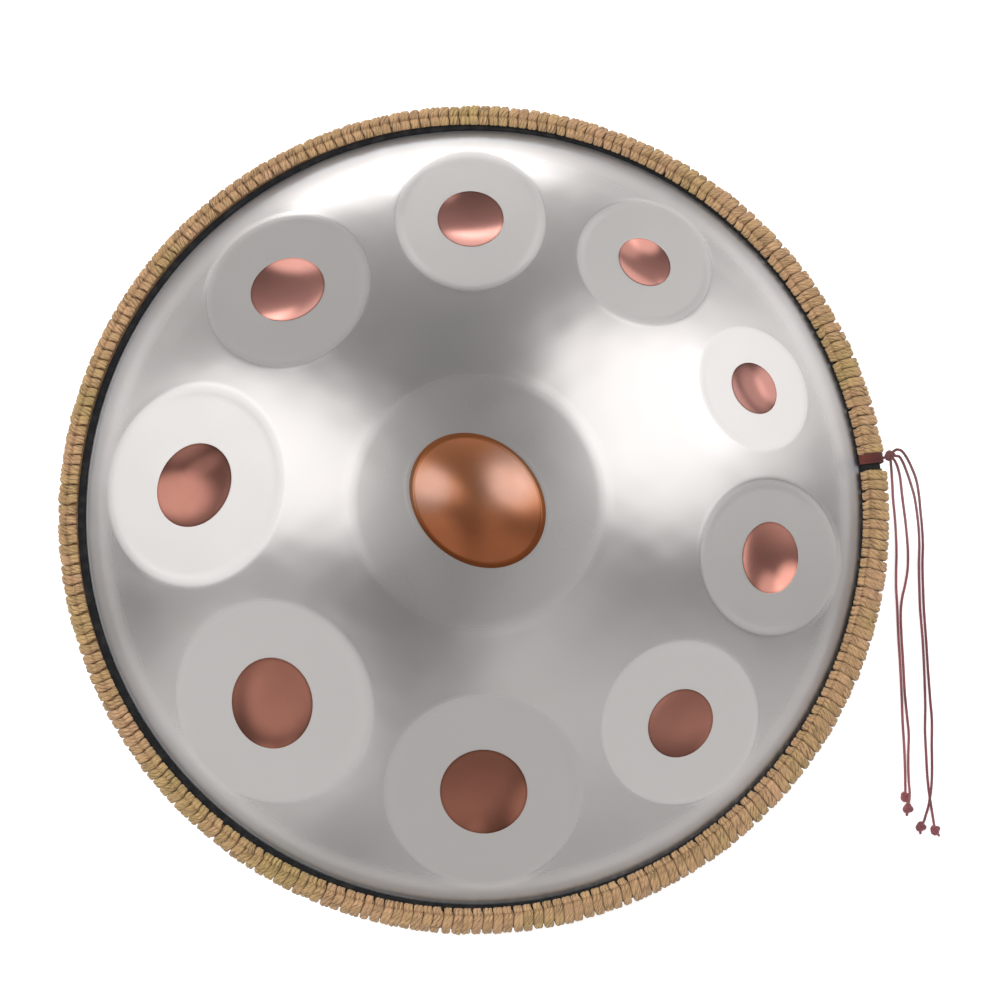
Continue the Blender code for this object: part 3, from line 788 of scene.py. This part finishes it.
def ellipse(centre, long, short, degrees, share):
    """Evenly spaced plan points of an ellipse, one ring."""
    around = 2 * math.pi * share * math.sqrt((long**2 + short**2) / 2)
    count = max(16, round(around / RING_SPACING))
    angles = np.arange(count) * 2 * math.pi / count
    x, y = turned(share * long * np.cos(angles), share * short * np.sin(angles), -degrees)
    return np.stack([x + centre[0], y + centre[1]], axis=-1)


def plan_rings():
    """Rings of plan points along every crease, so that the creases are crisp."""
    rings = [ellipse((0, 0), DING_LONG, DING_SHORT, DING_TURN, share) for share in DING_RINGS]
    rings += [ellipse((0, 0), DING_FIELD_RADIUS, DING_FIELD_RADIUS, 0, share) for share in FIELD_RINGS]
    for note in NOTES:
        centre = note_centre(note)
        turn = dimple_turn(note)
        rings += [ellipse(centre, note.dimple_long, note.dimple_short, turn, s) for s in DIMPLE_RINGS]
        rings += [ellipse(centre, note.radial, note.tangential, note.bearing, s) for s in FIELD_RINGS]
    for radius in [BOWL_RADIUS + offset for offset in ROOT_OFFSETS] + [FLANGE_RADIUS]:
        rings.append(ellipse((0, 0), radius, radius, 0, 1))
    return rings


def loose_points(rings):
    """Concentric points that fill the shell wherever no ring is near."""
    placed = np.concatenate(rings)
    tree = kdtree.KDTree(len(placed))
    for i, (x, y) in enumerate(placed):
        tree.insert((x, y, 0), i)
    tree.balance()
    points = [(0.0, 0.0)]
    for i in range(1, int(BOWL_RADIUS / LOOSE_SPACING)):
        radius = i * LOOSE_SPACING
        count = round(2 * math.pi * i)
        for k in range(count):
            angle = 2 * math.pi * (k + (i % 2) / 2) / count
            x, y = radius * math.cos(angle), radius * math.sin(angle)
            if tree.find((x, y, 0))[2] > LOOSE_CLEARANCE:
                points.append((x, y))
    return points


def frost_amount(x, y):
    """1 in a tone field, part of that around the ding, 0 on the satin dome."""
    radius = np.hypot(x, y)
    amount = DING_FIELD_FROST * fade(radius / DING_FIELD_RADIUS, *FROST_EDGE)
    amount = amount + FOOT_FROST * (1 - fade(radius, *FOOT_FROST_SPAN))
    for note in NOTES:
        amount = np.maximum(amount, fade(field_share(note, x, y)[0], *FROST_EDGE))
    return amount


def painted_light_amount(x, y):
    """Painted shade and light on the metal: a tint for each field, and a cooler painted reflection tint next
    to the rim.
    """
    amount = np.ones_like(x)
    # each field is darkened or lightened by its painted shade and light
    for note, painted_light in zip(NOTES, FIELD_PAINTED_SHADES):
        amount = amount * (1 + (painted_light - 1) * fade(field_share(note, x, y)[0], *FROST_EDGE))
    # painted reflection tint next to the rim
    foot = 1 - fade(np.hypot(x, y), *FOOT_REFLECTION_TINT_SPAN)
    return amount[:, None] * (1 + foot[:, None] * (np.array(FOOT_REFLECTION_TINT) - 1))


def rim_edges(triangles):
    """Edges that only one triangle uses, in that triangle's direction."""
    edges = {}
    for a, b, c in triangles:
        for edge in ((a, b), (b, c), (c, a)):
            if edge[::-1] in edges:
                del edges[edge[::-1]]
            else:
                edges[edge] = True
    return list(edges)


def make_top_shell():
    """One mesh of the outer and the inner face, with creases along the rings."""
    rings = plan_rings()
    edges, first = [], 0
    for ring in rings:
        edges += [(first + i, first + (i + 1) % len(ring)) for i in range(len(ring))]
        first += len(ring)
    plan = [Vector(p) for p in np.concatenate(rings).tolist() + loose_points(rings)]
    found = delaunay_2d_cdt(plan, edges, [], 0, 1e-7)
    x, y = np.array([tuple(p) for p in found[0]]).T
    outer, normals = surface(x, y, np.zeros_like(x))
    inner = outer - normals * SHEET
    count = len(x)
    triangles = [tuple(t) for t in found[2]]
    faces = triangles + [(c + count, b + count, a + count) for a, b, c in triangles]
    faces += [(b, a, a + count, b + count) for a, b in rim_edges(triangles)]
    # frost, and the shade attribute with painted shade, light and reflection tints
    finish = {"frost": frost_amount(x, y), "painted_light": painted_light_amount(x, y)}
    finish = {key: np.concatenate([values, values]) for key, values in finish.items()}
    shape = (np.concatenate([outer, inner]), faces, finish)
    add_piece("top_shell_satin", shape, steel, "top_shell", np.concatenate([normals, -normals]))


make_top_shell()


# ---- copper domes ----
SKIN_SHARES = (0.08, 0.2, 0.35, 0.5, 0.64, 0.76, 0.85, 0.91, 0.95, 0.975)
BRIM_SHARES = (0.900, 0.920)
EDGE_SHARES = (0.985, 0.992, 0.996)
EDGE_LIFTS = (0.00038, 0.00030, 0.00014)
SKIN_LIFT = 0.0004
SKIN_FOOT = 0.00003
SKIN_SIDES = 120
DIMPLE_PAINTED_SHADES = (0.69, 0.89, 0.87, 0.76, 1.32, 1.10, 0.82, 0.93, 1.03)  # painted shade of each dimple, as NOTES
DIMPLE_PAINTED_PINKS = (-1.5, -0.9, -0.6, -0.3, 0.0, 0.8, 1.0, 0.9, 0.7)  # painted tint, browner in shade below and pinker above, as NOTES
PINK = (0.0, 0.07, 0.15)  # a step of pink, added to the tint

DING_SHADE_TINT = (1.02, 0.84, 0.66)  # painted shade between the highlights, as a tint of the copper
DING_HIGHLIGHT_TINT = (0.96, 1.14, 1.40)  # where it has been polished
DING_LOW_SHADE = (0.66, 0.58, 0.54)  # painted shade on its lower side
DING_LOW_SHADE_SPAN = (0.0, 0.45)  # distances below the middle over which that sets in
DING_HIGHLIGHTS = ((0.42, 0.28, 0.2, 0.62), (-0.64, 0.17, 0.15, 0.46))  # places of the painted highlights, and where each fades out
DING_SHADE_SPOT = (-0.25, -0.02, 0.04, 0.34)  # the same for a spot of painted shade
DING_SHADE_SPOT_SHARE = 0.72


def ding_painted_light(x, y):
    """Painted light on the ding: painted highlights at two places, painted shade between them and on its
    lower side.
    """
    u, v = x / DING_LONG, y / DING_LONG  # as shares of the ding's long half-length
    highlight = np.zeros_like(u)
    for across, up, start, end in DING_HIGHLIGHTS:
        highlight = np.maximum(highlight, fade(np.hypot(u - across, v - up), start, end))
    # painted shade over the lower side
    low = 1 - fade(-v, *DING_LOW_SHADE_SPAN)
    across, up, start, end = DING_SHADE_SPOT
    shade_spot = 1 - (1 - DING_SHADE_SPOT_SHARE) * fade(np.hypot(u - across, v - up), start, end)
    tint = np.array(DING_SHADE_TINT) + highlight[:, None] * (np.array(DING_HIGHLIGHT_TINT) - DING_SHADE_TINT)
    return tint * (1 + low[:, None] * (np.array(DING_LOW_SHADE) - 1)) * shade_spot[:, None]


def make_dome(name, centre, long, short, degrees, look, painted_light, extra_shares=()):
    """A thin copper skin with a rounded edge, on the shape of the shell under it.

    The painted light is one tint, or a function of the plan coordinates that gives the tints of painted
    shade and highlights.
    """
    shares = sorted((*SKIN_SHARES, *extra_shares))
    lifts = [SKIN_LIFT] * len(shares) + list(EDGE_LIFTS)
    shares = shares + list(EDGE_SHARES)
    angles = np.arange(SKIN_SIDES) * 2 * math.pi / SKIN_SIDES
    ring_shares = np.array(shares)[:, None]
    x, y = turned(ring_shares * long * np.cos(angles), ring_shares * short * np.sin(angles), -degrees)
    x, y = x + centre[0], y + centre[1]
    top, normals = surface(x, y, np.broadcast_to(np.array(lifts)[:, None], x.shape))
    foot = surface(x, y, np.full_like(x, SKIN_FOOT))[0]
    place = np.array(centre)[:, None]
    middle = surface(*place, [SKIN_LIFT])
    under = surface(*place, [SKIN_FOOT])
    vertices = np.concatenate([top.reshape(-1, 3), foot.reshape(-1, 3), middle[0], under[0]])
    vertex_normals = np.concatenate([normals.reshape(-1, 3), -normals.reshape(-1, 3), middle[1], -under[1]])
    edge = np.concatenate([np.repeat(shares, SKIN_SIDES), np.repeat(shares, SKIN_SIDES), [0.0, 0.0]])
    tint = painted_light(*vertices[:, :2].T) if callable(painted_light) else np.full((len(edge), 3), painted_light)
    shape = (vertices, skin_faces(len(shares)), {"edge": edge, "painted_light": tint})
    add_piece(name + "_skin", shape, look, name, vertex_normals)


def skin_faces(rings):
    """Faces between the rings of a skin's top, those of its underside and the two middles."""
    total = rings * SKIN_SIDES
    faces = []
    for i in range(SKIN_SIDES):
        j = (i + 1) % SKIN_SIDES
        faces.append((2 * total, i, j))
        faces.append((2 * total + 1, total + j, total + i))
        for ring in range(rings - 1):
            near, far = ring * SKIN_SIDES, (ring + 1) * SKIN_SIDES
            faces.append((near + i, far + i, far + j, near + j))
            faces.append((total + near + j, total + far + j, total + far + i, total + near + i))
        rim = (rings - 1) * SKIN_SIDES
        faces.append((rim + j, rim + i, total + rim + i, total + rim + j))
    return faces


make_dome("ding_dome", (0.0, 0.0), DING_LONG, DING_SHORT, DING_TURN, bronze, ding_painted_light, BRIM_SHARES)
# each dimple's copper gets its painted shade and tint
for tone, tone_painted_shade, painted_pinks in zip(NOTES, DIMPLE_PAINTED_SHADES, DIMPLE_PAINTED_PINKS):
    painted_tint = tone_painted_shade * (1 + painted_pinks * np.array(PINK))
    outline = (note_centre(tone), tone.dimple_long, tone.dimple_short, dimple_turn(tone))
    make_dome(tone.name, *outline, copper, painted_tint)


# ---- bottom shell ----
BOWL_STATIONS = 60
PORT_TURN_STEPS = 8
LATHE_SIDES = 240


def offset_profile(points, distance):
    """Points moved along the normals of an open (radius, z) profile."""
    points = np.array(points)
    run = unit(np.gradient(points, axis=0))
    return points + np.stack([-run[:, 1], run[:, 0]], axis=-1) * distance


def make_bottom_shell():
    """A plain bowl whose flat foot turns inward and up into the port's neck."""
    base = MID_PLANE - FLANGE_HIGH
    radii = np.linspace(BOWL_RADIUS + ROOT_BLEND, REST_OUTER, BOWL_STATIONS)
    under = [(FLANGE_RADIUS, base)]
    under += [(r, base - float(bowl_height(r, BOTTOM_RISE))) for r in radii]
    turn = REST_INNER - PORT_RADIUS
    under += arc(REST_INNER, turn, turn, -90, -180, PORT_TURN_STEPS)
    under += [(PORT_RADIUS, NECK_HEIGHT / 2), (PORT_RADIUS, NECK_HEIGHT)]
    over = offset_profile(under, -SHEET)
    profile = [tuple(p) for p in under] + [tuple(p) for p in over[::-1]]
    vertices, faces = lathe(profile, LATHE_SIDES)
    finish = {"frost": np.zeros(len(vertices)), "painted_light": np.ones((len(vertices), 3))}
    add_piece("bottom_shell_satin", (vertices, faces, finish), steel, "bottom_shell")


make_bottom_shell()


# ---- rubber trim and glue ----
TRIM_SIDES = 360
TRIM_LIP_RADIUS = 0.2662  # inner edge of the trim's legs
TRIM_OVER_FOOT = 0.0005  # from the dome's foot to that edge
TRIM_FIXED = 0.2760  # radius beyond which the trim is round
TRIM_ROUND = TRIM_THICKNESS / 2


def make_trim():
    """A U-channel whose upper lip follows the dome's foot."""
    middle = (TRIM_LOW + TRIM_HIGH) / 2
    leg = arc(TRIM_LIP_RADIUS + TRIM_ROUND, middle, TRIM_ROUND, 270, 90, 8)
    corner = arc(TRIM_RADIUS - TRIM_ROUND, TRIM_HIGH - TRIM_ROUND, TRIM_ROUND, 90, 0, 6)
    upper = [(TRIM_WEB, TRIM_LOW)] + leg + corner
    profile = [(r, MID_PLANE + z) for r, z in upper] + [(r, MID_PLANE - z) for r, z in upper[::-1]]
    vertices, faces = lathe(profile, TRIM_SIDES)
    radius = np.hypot(vertices[:, 0], vertices[:, 1])
    bearings = np.arctan2(vertices[:, 1], vertices[:, 0])
    share = np.clip((TRIM_FIXED - radius) / (TRIM_FIXED - TRIM_LIP_RADIUS), 0, 1)
    moved = share * (foot_shift(bearings) + BOWL_RADIUS + TRIM_OVER_FOOT - TRIM_LIP_RADIUS)
    vertices[:, :2] *= (1 + moved / radius)[:, None]
    add_piece("edge_trim_rubber", (vertices, faces, {}), rubber, "edge_trim")


make_trim()
glue = make_glue()
for material_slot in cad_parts["rim_glue"].material_slots:
    material_slot.material = glue


# ---- twine wrap ----
HITCHES = 252
WRAP_START = WRAP_GAP_BEARING + WRAP_GAP_WIDTH / 2
WRAP_END = WRAP_GAP_BEARING - WRAP_GAP_WIDTH / 2 + 360
TWINE_WIDE = 0.00196  # half-width of a strand laid flat on the rim
TWINE_FLAT = 0.78  # its thickness as a share of that
TWINE_SIDES = 12
TWINE_TWIST = Twist(3, 0.035, 55.0)
STRAND_ASIDE = 0.00138
OUTER_CROWN = 0.0055  # height of an outer strand over the joint
OUTER_SLANT = -0.0016  # how far a strand drifts along the rim on its way out
SLANT_START = 3.0  # degrees over which the drift grows, from the binding on
INNER_SLANT = -0.0008  # how far an inner strand drifts on its way in
INNER_WIDE = 0.00188
INNER_ASIDE = 0.00122
PURL_WIDE = 0.00115
ROPE_REACH = 0.0004  # how far the twine bulges over its mean radius
ROPE_PARTS = 6  # pieces that the rope is split into, to keep each mesh small
STRAND_LEG = 3  # steps between the rows that a strand runs through
SPINE_RADIUS = (0.2758, 0.0042, -30)  # on average, and less by this towards this bearing
INNER_RADIUS = (0.2696, 0.0033, 152)  # on average, and more by this towards this bearing
# Standard deviations: how far a strand reaches, crests, shifts and slants from the pattern.
JITTER = {"reach": 0.00018, "crown": 0.00018, "aside": 0.00006, "slant": 0.00035}
SIZE_JITTER = 0.04  # of a strand's radius
PITCH_JITTER = 0.010  # of the pitch
HITCH_TINTS = (0.5, 0.22)  # mean and spread
STRAND_TINTS = 0.10
OWN_SHARE = 0.6  # of the jitter that the strands of a hitch don't share
rope_dice = np.random.default_rng(23)


def spine_radius(bearings):
    """Where the row of purls lies on top of the rim: farther out at the upper left."""
    mean, swing, towards = SPINE_RADIUS
    return mean - swing * np.cos(np.radians(bearings - towards))


def inner_radius(bearings):
    """Inner edge of the twine."""
    mean, swing, towards = INNER_RADIUS
    return mean + swing * np.cos(np.radians(bearings - towards))


def rim_points(bearings, radius, height, aside):
    """World points at these bearings, radii, heights over the joint and distances along the rim."""
    c, s = np.cos(np.radians(bearings)), np.sin(np.radians(bearings))
    x = radius * c - aside * s
    y = radius * s + aside * c
    return np.stack([x, y, MID_PLANE + height + 0 * x], axis=-1)


def level(bearings):
    """Level unit vectors at these bearings."""
    return rim_points(bearings, 1.0, -MID_PLANE, 0.0)


def outer_strands(bearings, side, jitter):
    """From under the purl, out over the edge and round to the inner edge below."""
    purl, inner = spine_radius(bearings), inner_radius(bearings)
    out = ROPE_RADIUS + ROPE_REACH - TWINE_WIDE * TWINE_FLAT + jitter["reach"]
    crown = OUTER_CROWN + jitter["crown"]
    aside = side * STRAND_ASIDE + jitter["aside"]
    drift = OUTER_SLANT * (1 - fade(bearings - WRAP_GAP_BEARING, WRAP_GAP_WIDTH / 2, SLANT_START))
    lean = 0.95 * aside + jitter["slant"] + drift
    rows = (  # radius, height over the joint and distance along the rim
        (purl - 0.0004, 0.0035, 0.80 * aside),
        (purl + 0.0003, 0.0051, 0.86 * aside),
        (purl + 0.0013, 0.0062, 0.92 * aside),
        (purl + 0.0026, crown + 0.0005, aside + 0.25 * drift),
        ((purl + out) / 2 + 0.0012, crown, aside + 0.6 * drift),
        (out - 0.0026, crown - 0.0007, lean),
        (out - 0.0010, 0.0036, lean),
        (out - 0.0002, 0.0018, lean),
        (out, 0.0, lean),
        (out - 0.0002, -0.0018, lean),
        (out - 0.0010, -0.0036, lean),
        (out - 0.0026, -0.0050, lean),
        ((purl + out) / 2 - 0.0006, -0.0056, lean),
        (inner + 0.0045, -0.0055, lean),
        (inner + 0.0020, -0.0052, lean),
        (inner + 0.0010, -0.0042, lean),
    )
    return np.stack([rim_points(bearings, *row) for row in rows], axis=1)


def inner_strands(bearings, side, jitter):
    """From under the purl, slanting inwards and down onto the trim."""
    purl, inner = spine_radius(bearings), inner_radius(bearings) + 0.0012
    aside = side * INNER_ASIDE + jitter["aside"]
    slant = INNER_SLANT + jitter["slant"]
    rows = (  # as in outer_strands
        (purl - 0.0010, 0.0034, aside),
        (purl - 0.0019, 0.0048, aside + 0.2 * slant),
        ((purl + inner) / 2 - 0.0004, 0.0057 + jitter["crown"], aside + 0.55 * slant),
        (inner + 0.0010, 0.0054, aside + 0.85 * slant),
        (inner - 0.0001, 0.0047, aside + slant),
        (inner - 0.0004, 0.0041, aside + slant),
    )
    return np.stack([rim_points(bearings, *row) for row in rows], axis=1)


PURL_ARCH = ((0.0, 0.0051), (0.0012, 0.0049), (0.0023, 0.0043), (0.0027, 0.0034))  # aside, height
PURL_INWARD = 0.0008  # from the spine
PURL_REACH = 0.003
PURL_SKEW = (0.0002, 0.5)  # lean over that reach: the same for all, and as a share of the hitch's slant


def purls(bearings, jitter):
    """The loop of each hitch, in the seam between its outer and its inner strands."""
    purl = spine_radius(bearings) - PURL_INWARD
    skew = PURL_SKEW[0] + PURL_SKEW[1] * jitter["slant"]
    rows = [(-t, z) for t, z in PURL_ARCH[:0:-1]] + list(PURL_ARCH)
    arch = [(purl + skew * t / PURL_REACH, z + jitter["crown"], t + jitter["aside"]) for t, z in rows]
    return np.stack([rim_points(bearings, *row) for row in arch], axis=1)


def hitch_jitter(count):
    """How far each hitch strays from the pattern."""
    return {key: rope_dice.normal(0, size, count) for key, size in JITTER.items()}


def strand_parts(rows, radius, tints, bearings):
    """Strands laid flat on the rim, each a little thicker or thinner than the next."""
    paths = smoothed(rows, STRAND_LEG)
    sizes = radius * rope_dice.normal(1.0, SIZE_JITTER, (len(paths), 1))
    radii = sizes * rounded_ends(paths)
    return tubes(paths, radii, TWINE_SIDES, TWINE_TWIST, tints, level(bearings + 90), TWINE_FLAT)


def hitch_parts(bearings, tints):
    """Each hitch is two outer strands, two inner strands and a purl."""
    parts = []
    shared = hitch_jitter(len(bearings))
    for side in (-1, 1):
        own = hitch_jitter(len(bearings))
        mixed = {key: shared[key] + OWN_SHARE * own[key] for key in own}
        shades = np.clip(tints + rope_dice.normal(0, STRAND_TINTS, len(bearings)), 0, 1)
        parts.append(strand_parts(outer_strands(bearings, side, mixed), TWINE_WIDE, shades, bearings))
        parts.append(strand_parts(inner_strands(bearings, side, mixed), INNER_WIDE, shades, bearings))
    paths = smoothed(purls(bearings, shared), STRAND_LEG)
    radii = PURL_WIDE * rounded_ends(paths)
    parts.append(tubes(paths, radii, TWINE_SIDES, TWINE_TWIST, tints, level(bearings), TWINE_FLAT))
    return parts


def make_hitches():
    """A ring of half hitches, in six pieces, open at the binding."""
    pitch = (WRAP_END - WRAP_START) / HITCHES
    bearings = WRAP_START + pitch * (np.arange(HITCHES) + 0.5)
    bearings += rope_dice.normal(0, PITCH_JITTER * pitch, HITCHES)
    tints = np.clip(rope_dice.normal(*HITCH_TINTS, HITCHES), 0, 1)
    for part in range(ROPE_PARTS):
        chosen = slice(part * HITCHES // ROPE_PARTS, (part + 1) * HITCHES // ROPE_PARTS)
        shape = joined(hitch_parts(bearings[chosen], tints[chosen]))
        add_piece(f"rope_hitches_{part + 1}", shape, twine, "rope_wrap")


CORE_INNER = 0.2716
CORE_THICKNESS = 0.0005
CORE_SIDES = 720


def core_profile(inner, thickness):
    """A thin C around the trim."""
    low, high = TRIM_HIGH + GAP / 2, TRIM_HIGH + GAP / 2 + thickness
    near, far = TRIM_RADIUS + GAP / 2, TRIM_RADIUS + GAP / 2 + thickness
    cut = thickness / 2
    upper = [(near, low), (inner, low), (inner, high), (far - cut, high), (far, high - cut)]
    return [(r, MID_PLANE + z) for r, z in upper] + [(r, MID_PLANE - z) for r, z in upper[::-1]]


def core_attributes(vertices):
    """Fibre coordinates that make the core look wound across the rim."""
    angle = np.arctan2(vertices[:, 1], vertices[:, 0])
    radius = np.hypot(vertices[:, 0], vertices[:, 1])
    fibre = np.stack([radius, angle * ROPE_RADIUS, vertices[:, 2] * 0.1], axis=-1)
    return {"fibre": fibre, "tint": np.full(len(vertices), 0.5)}


def make_core():
    """Twine under the strands, coloured dark as painted shade in the gaps that show between them."""
    profile = core_profile(CORE_INNER, CORE_THICKNESS)
    vertices, faces = lathe(profile, CORE_SIDES, WRAP_START, WRAP_END)
    add_piece("rope_core_shade", (vertices, faces, core_attributes(vertices)), core, "rope_wrap")


make_hitches()
make_core()

# ---- binding ----
BINDING_TURNS = 4
BINDING_PITCH = 0.34
BINDING_CORD = 0.00096
BINDING_INNER = 0.2674
BINDING_TINTS = (0.5, 0.2, 0.7, 0.4)
BINDING_SLIP = 0.0004  # how far the cord runs aside from its middle to either end
BINDING_SIDES = 12
BINDING_LEG = 4
BINDING_EDGE = 0.06  # degrees of the outermost turns that the core leaves free


def make_binding():
    """Four turns of dark red cord over the gap in the twine."""
    span = (BINDING_TURNS - 1) / 2
    bearings = BINDING_BEARING + BINDING_PITCH * (np.arange(BINDING_TURNS) - span)
    top = BINDING_HALF_HEIGHT - BINDING_CORD
    out = BINDING_RADIUS - BINDING_CORD
    rows = (  # radius and height over the joint
        (BINDING_INNER, TRIM_HIGH + 0.0006),
        (BINDING_INNER + 0.0008, top - 0.0004),
        (BINDING_INNER + 0.0030, top),
        (out - 0.0040, top),
        (out - 0.0014, top - 0.0008),
        (out - 0.0002, top - 0.0030),
        (out, 0.0),
    )
    rows = rows + tuple((r, -z) for r, z in rows[-2::-1])
    slip = np.linspace(BINDING_SLIP, -BINDING_SLIP, len(rows))
    paths = np.stack([rim_points(bearings, r, z, t) for (r, z), t in zip(rows, slip)], axis=1)
    paths = smoothed(paths, BINDING_LEG)
    radii = BINDING_CORD * rounded_ends(paths)
    tints = np.array(BINDING_TINTS)
    turns = tubes(paths, radii, BINDING_SIDES, CORD_TWIST, tints, level(bearings + 90))
    half = BINDING_PITCH * BINDING_TURNS / 2 - BINDING_EDGE
    profile = core_profile(BINDING_INNER + 0.0012, CORE_THICKNESS)
    under, polygons = lathe(profile, BINDING_SIDES, BINDING_BEARING - half, BINDING_BEARING + half)
    shape = joined([turns, (under, polygons, core_attributes(under))])
    add_piece("cord_binding_turns", shape, binding, "cord_binding")


make_binding()


# ---- floor, light and picture ----
FLOOR_SIZE = 3.0
FLOOR_GLOW = 0.35


def make_floor():
    """A plain pale floor, lit a little from within."""
    mesh = bpy.data.meshes.new("floor")
    s = FLOOR_SIZE
    mesh.from_pydata([(-s, -s, 0), (s, -s, 0), (s, s, 0), (-s, s, 0)], [], [(0, 1, 2, 3)])
    paint = {"Base_Color": (0.92, 0.92, 0.92, 1), "Emission_Color": (1, 1, 1, 1)}
    made = new_material("pale_floor", Roughness=0.9, Emission_Strength=FLOOR_GLOW, **paint)[0]
    mesh.materials.append(made)
    placed("floor", mesh)


class Card(NamedTuple):
    """A soft light card: bearing and angle off the vertical in degrees, half sizes and strength."""

    bearing: float
    off_axis: float
    half_width: float
    half_height: float
    strength: float


CARDS = (
    Card(32, 46, 0.40, 0.37, 1.38),
    Card(161, 48, 0.29, 0.55, 1.39),
    Card(98, 90, 0.38, 0.08, 3.70),
    Card(183, 69, 0.10, 0.25, 0.51),
    Card(28, 73, 0.34, 0.26, 0.74),
    Card(220, 67, 0.40, 0.50, 0.65),
    Card(293, 85, 0.75, 0.80, 0.57),
    Card(-19, 18, 0.51, 0.21, 0.29),
)
OVERHEAD = 0.22
HORIZON = 0.22
HORIZON_SPAN = (0.1, 0.9)  # from its full light to the overhead light alone
NORTH = 0.37  # how much brighter the horizon is towards +Y
FILL_POWER = 60
FILL_SIZE = 2.5
FILL_PLACE = (-0.4, 0.6, 2.6)
CARD_EDGE = (0.5, 1.5)  # squared shares of a card's half sizes over which it fades out


def along_axis(tree, direction, axis):
    """The part of a direction that lies along an axis."""
    inputs = {0: direction, 1: axis}
    return add_node(tree, "ShaderNodeVectorMath", inputs, operation="DOT_PRODUCT").outputs[1]


def card_light(tree, direction, card):
    """The card's light in this direction: full in its middle and fading out over its edge."""
    b, a = math.radians(card.bearing), math.radians(card.off_axis)
    centre = Vector((math.sin(a) * math.cos(b), math.sin(a) * math.sin(b), math.cos(a)))
    across = Vector((-math.sin(b), math.cos(b), 0))
    upward = centre.cross(across)
    u = along_axis(tree, direction, across / card.half_width)
    v = along_axis(tree, direction, upward / card.half_height)
    reach = arithmetic(tree, "MULTIPLY_ADD", u, u, arithmetic(tree, "MULTIPLY", v, v))
    inputs = {0: reach, 1: CARD_EDGE[0], 2: CARD_EDGE[1], 3: card.strength, 4: 0.0}
    soft = {"clamp": True, "interpolation_type": "SMOOTHSTEP"}
    inside = add_node(tree, "ShaderNodeMapRange", inputs, **soft).outputs[0]
    ahead = arithmetic(tree, "GREATER_THAN", along_axis(tree, direction, centre), 0.0)
    return arithmetic(tree, "MULTIPLY", inside, ahead)


def make_world():
    """A soft room with light cards around the pan. The camera itself sees plain white."""
    world = bpy.data.worlds.new("studio")
    world.use_nodes = True
    tree = world.node_tree
    background = tree.nodes["Background"]
    direction = add_node(tree, "ShaderNodeTexCoord").outputs["Generated"]
    parts = add_node(tree, "ShaderNodeSeparateXYZ", {0: direction}).outputs
    low = spread(tree, parts[2], *HORIZON_SPAN, 1.0, 0.0)
    horizon = arithmetic(tree, "MULTIPLY_ADD", parts[1], NORTH, HORIZON - OVERHEAD)
    light = arithmetic(tree, "MULTIPLY_ADD", low, horizon, OVERHEAD)
    for card in CARDS:
        light = arithmetic(tree, "ADD", light, card_light(tree, direction, card))
    light = arithmetic(tree, "MAXIMUM", light, 0.0)
    seen = add_node(tree, "ShaderNodeLightPath").outputs["Is Camera Ray"]
    strength = add_node(tree, "ShaderNodeMix", {0: seen, 2: light, 3: 1.0}).outputs[0]
    tree.links.new(strength, background.inputs[1])
    background.inputs[0].default_value = (1, 1, 1, 1)
    bpy.context.scene.world = world


def make_fill():
    """A broad overhead light for the floor and the fibres, which the metal doesn't mirror."""
    light = bpy.data.lights.new("fill", "AREA")
    light.shape = "DISK"
    light.size = FILL_SIZE
    light.energy = FILL_POWER
    made = placed("fill", light)
    made.location = FILL_PLACE
    made.rotation_euler = (-made.location).to_track_quat("-Z", "Y").to_euler()
    made.visible_camera = False
    made.visible_glossy = False


make_floor()
make_world()
make_fill()
bpy.context.scene.view_settings.view_transform = "Standard"
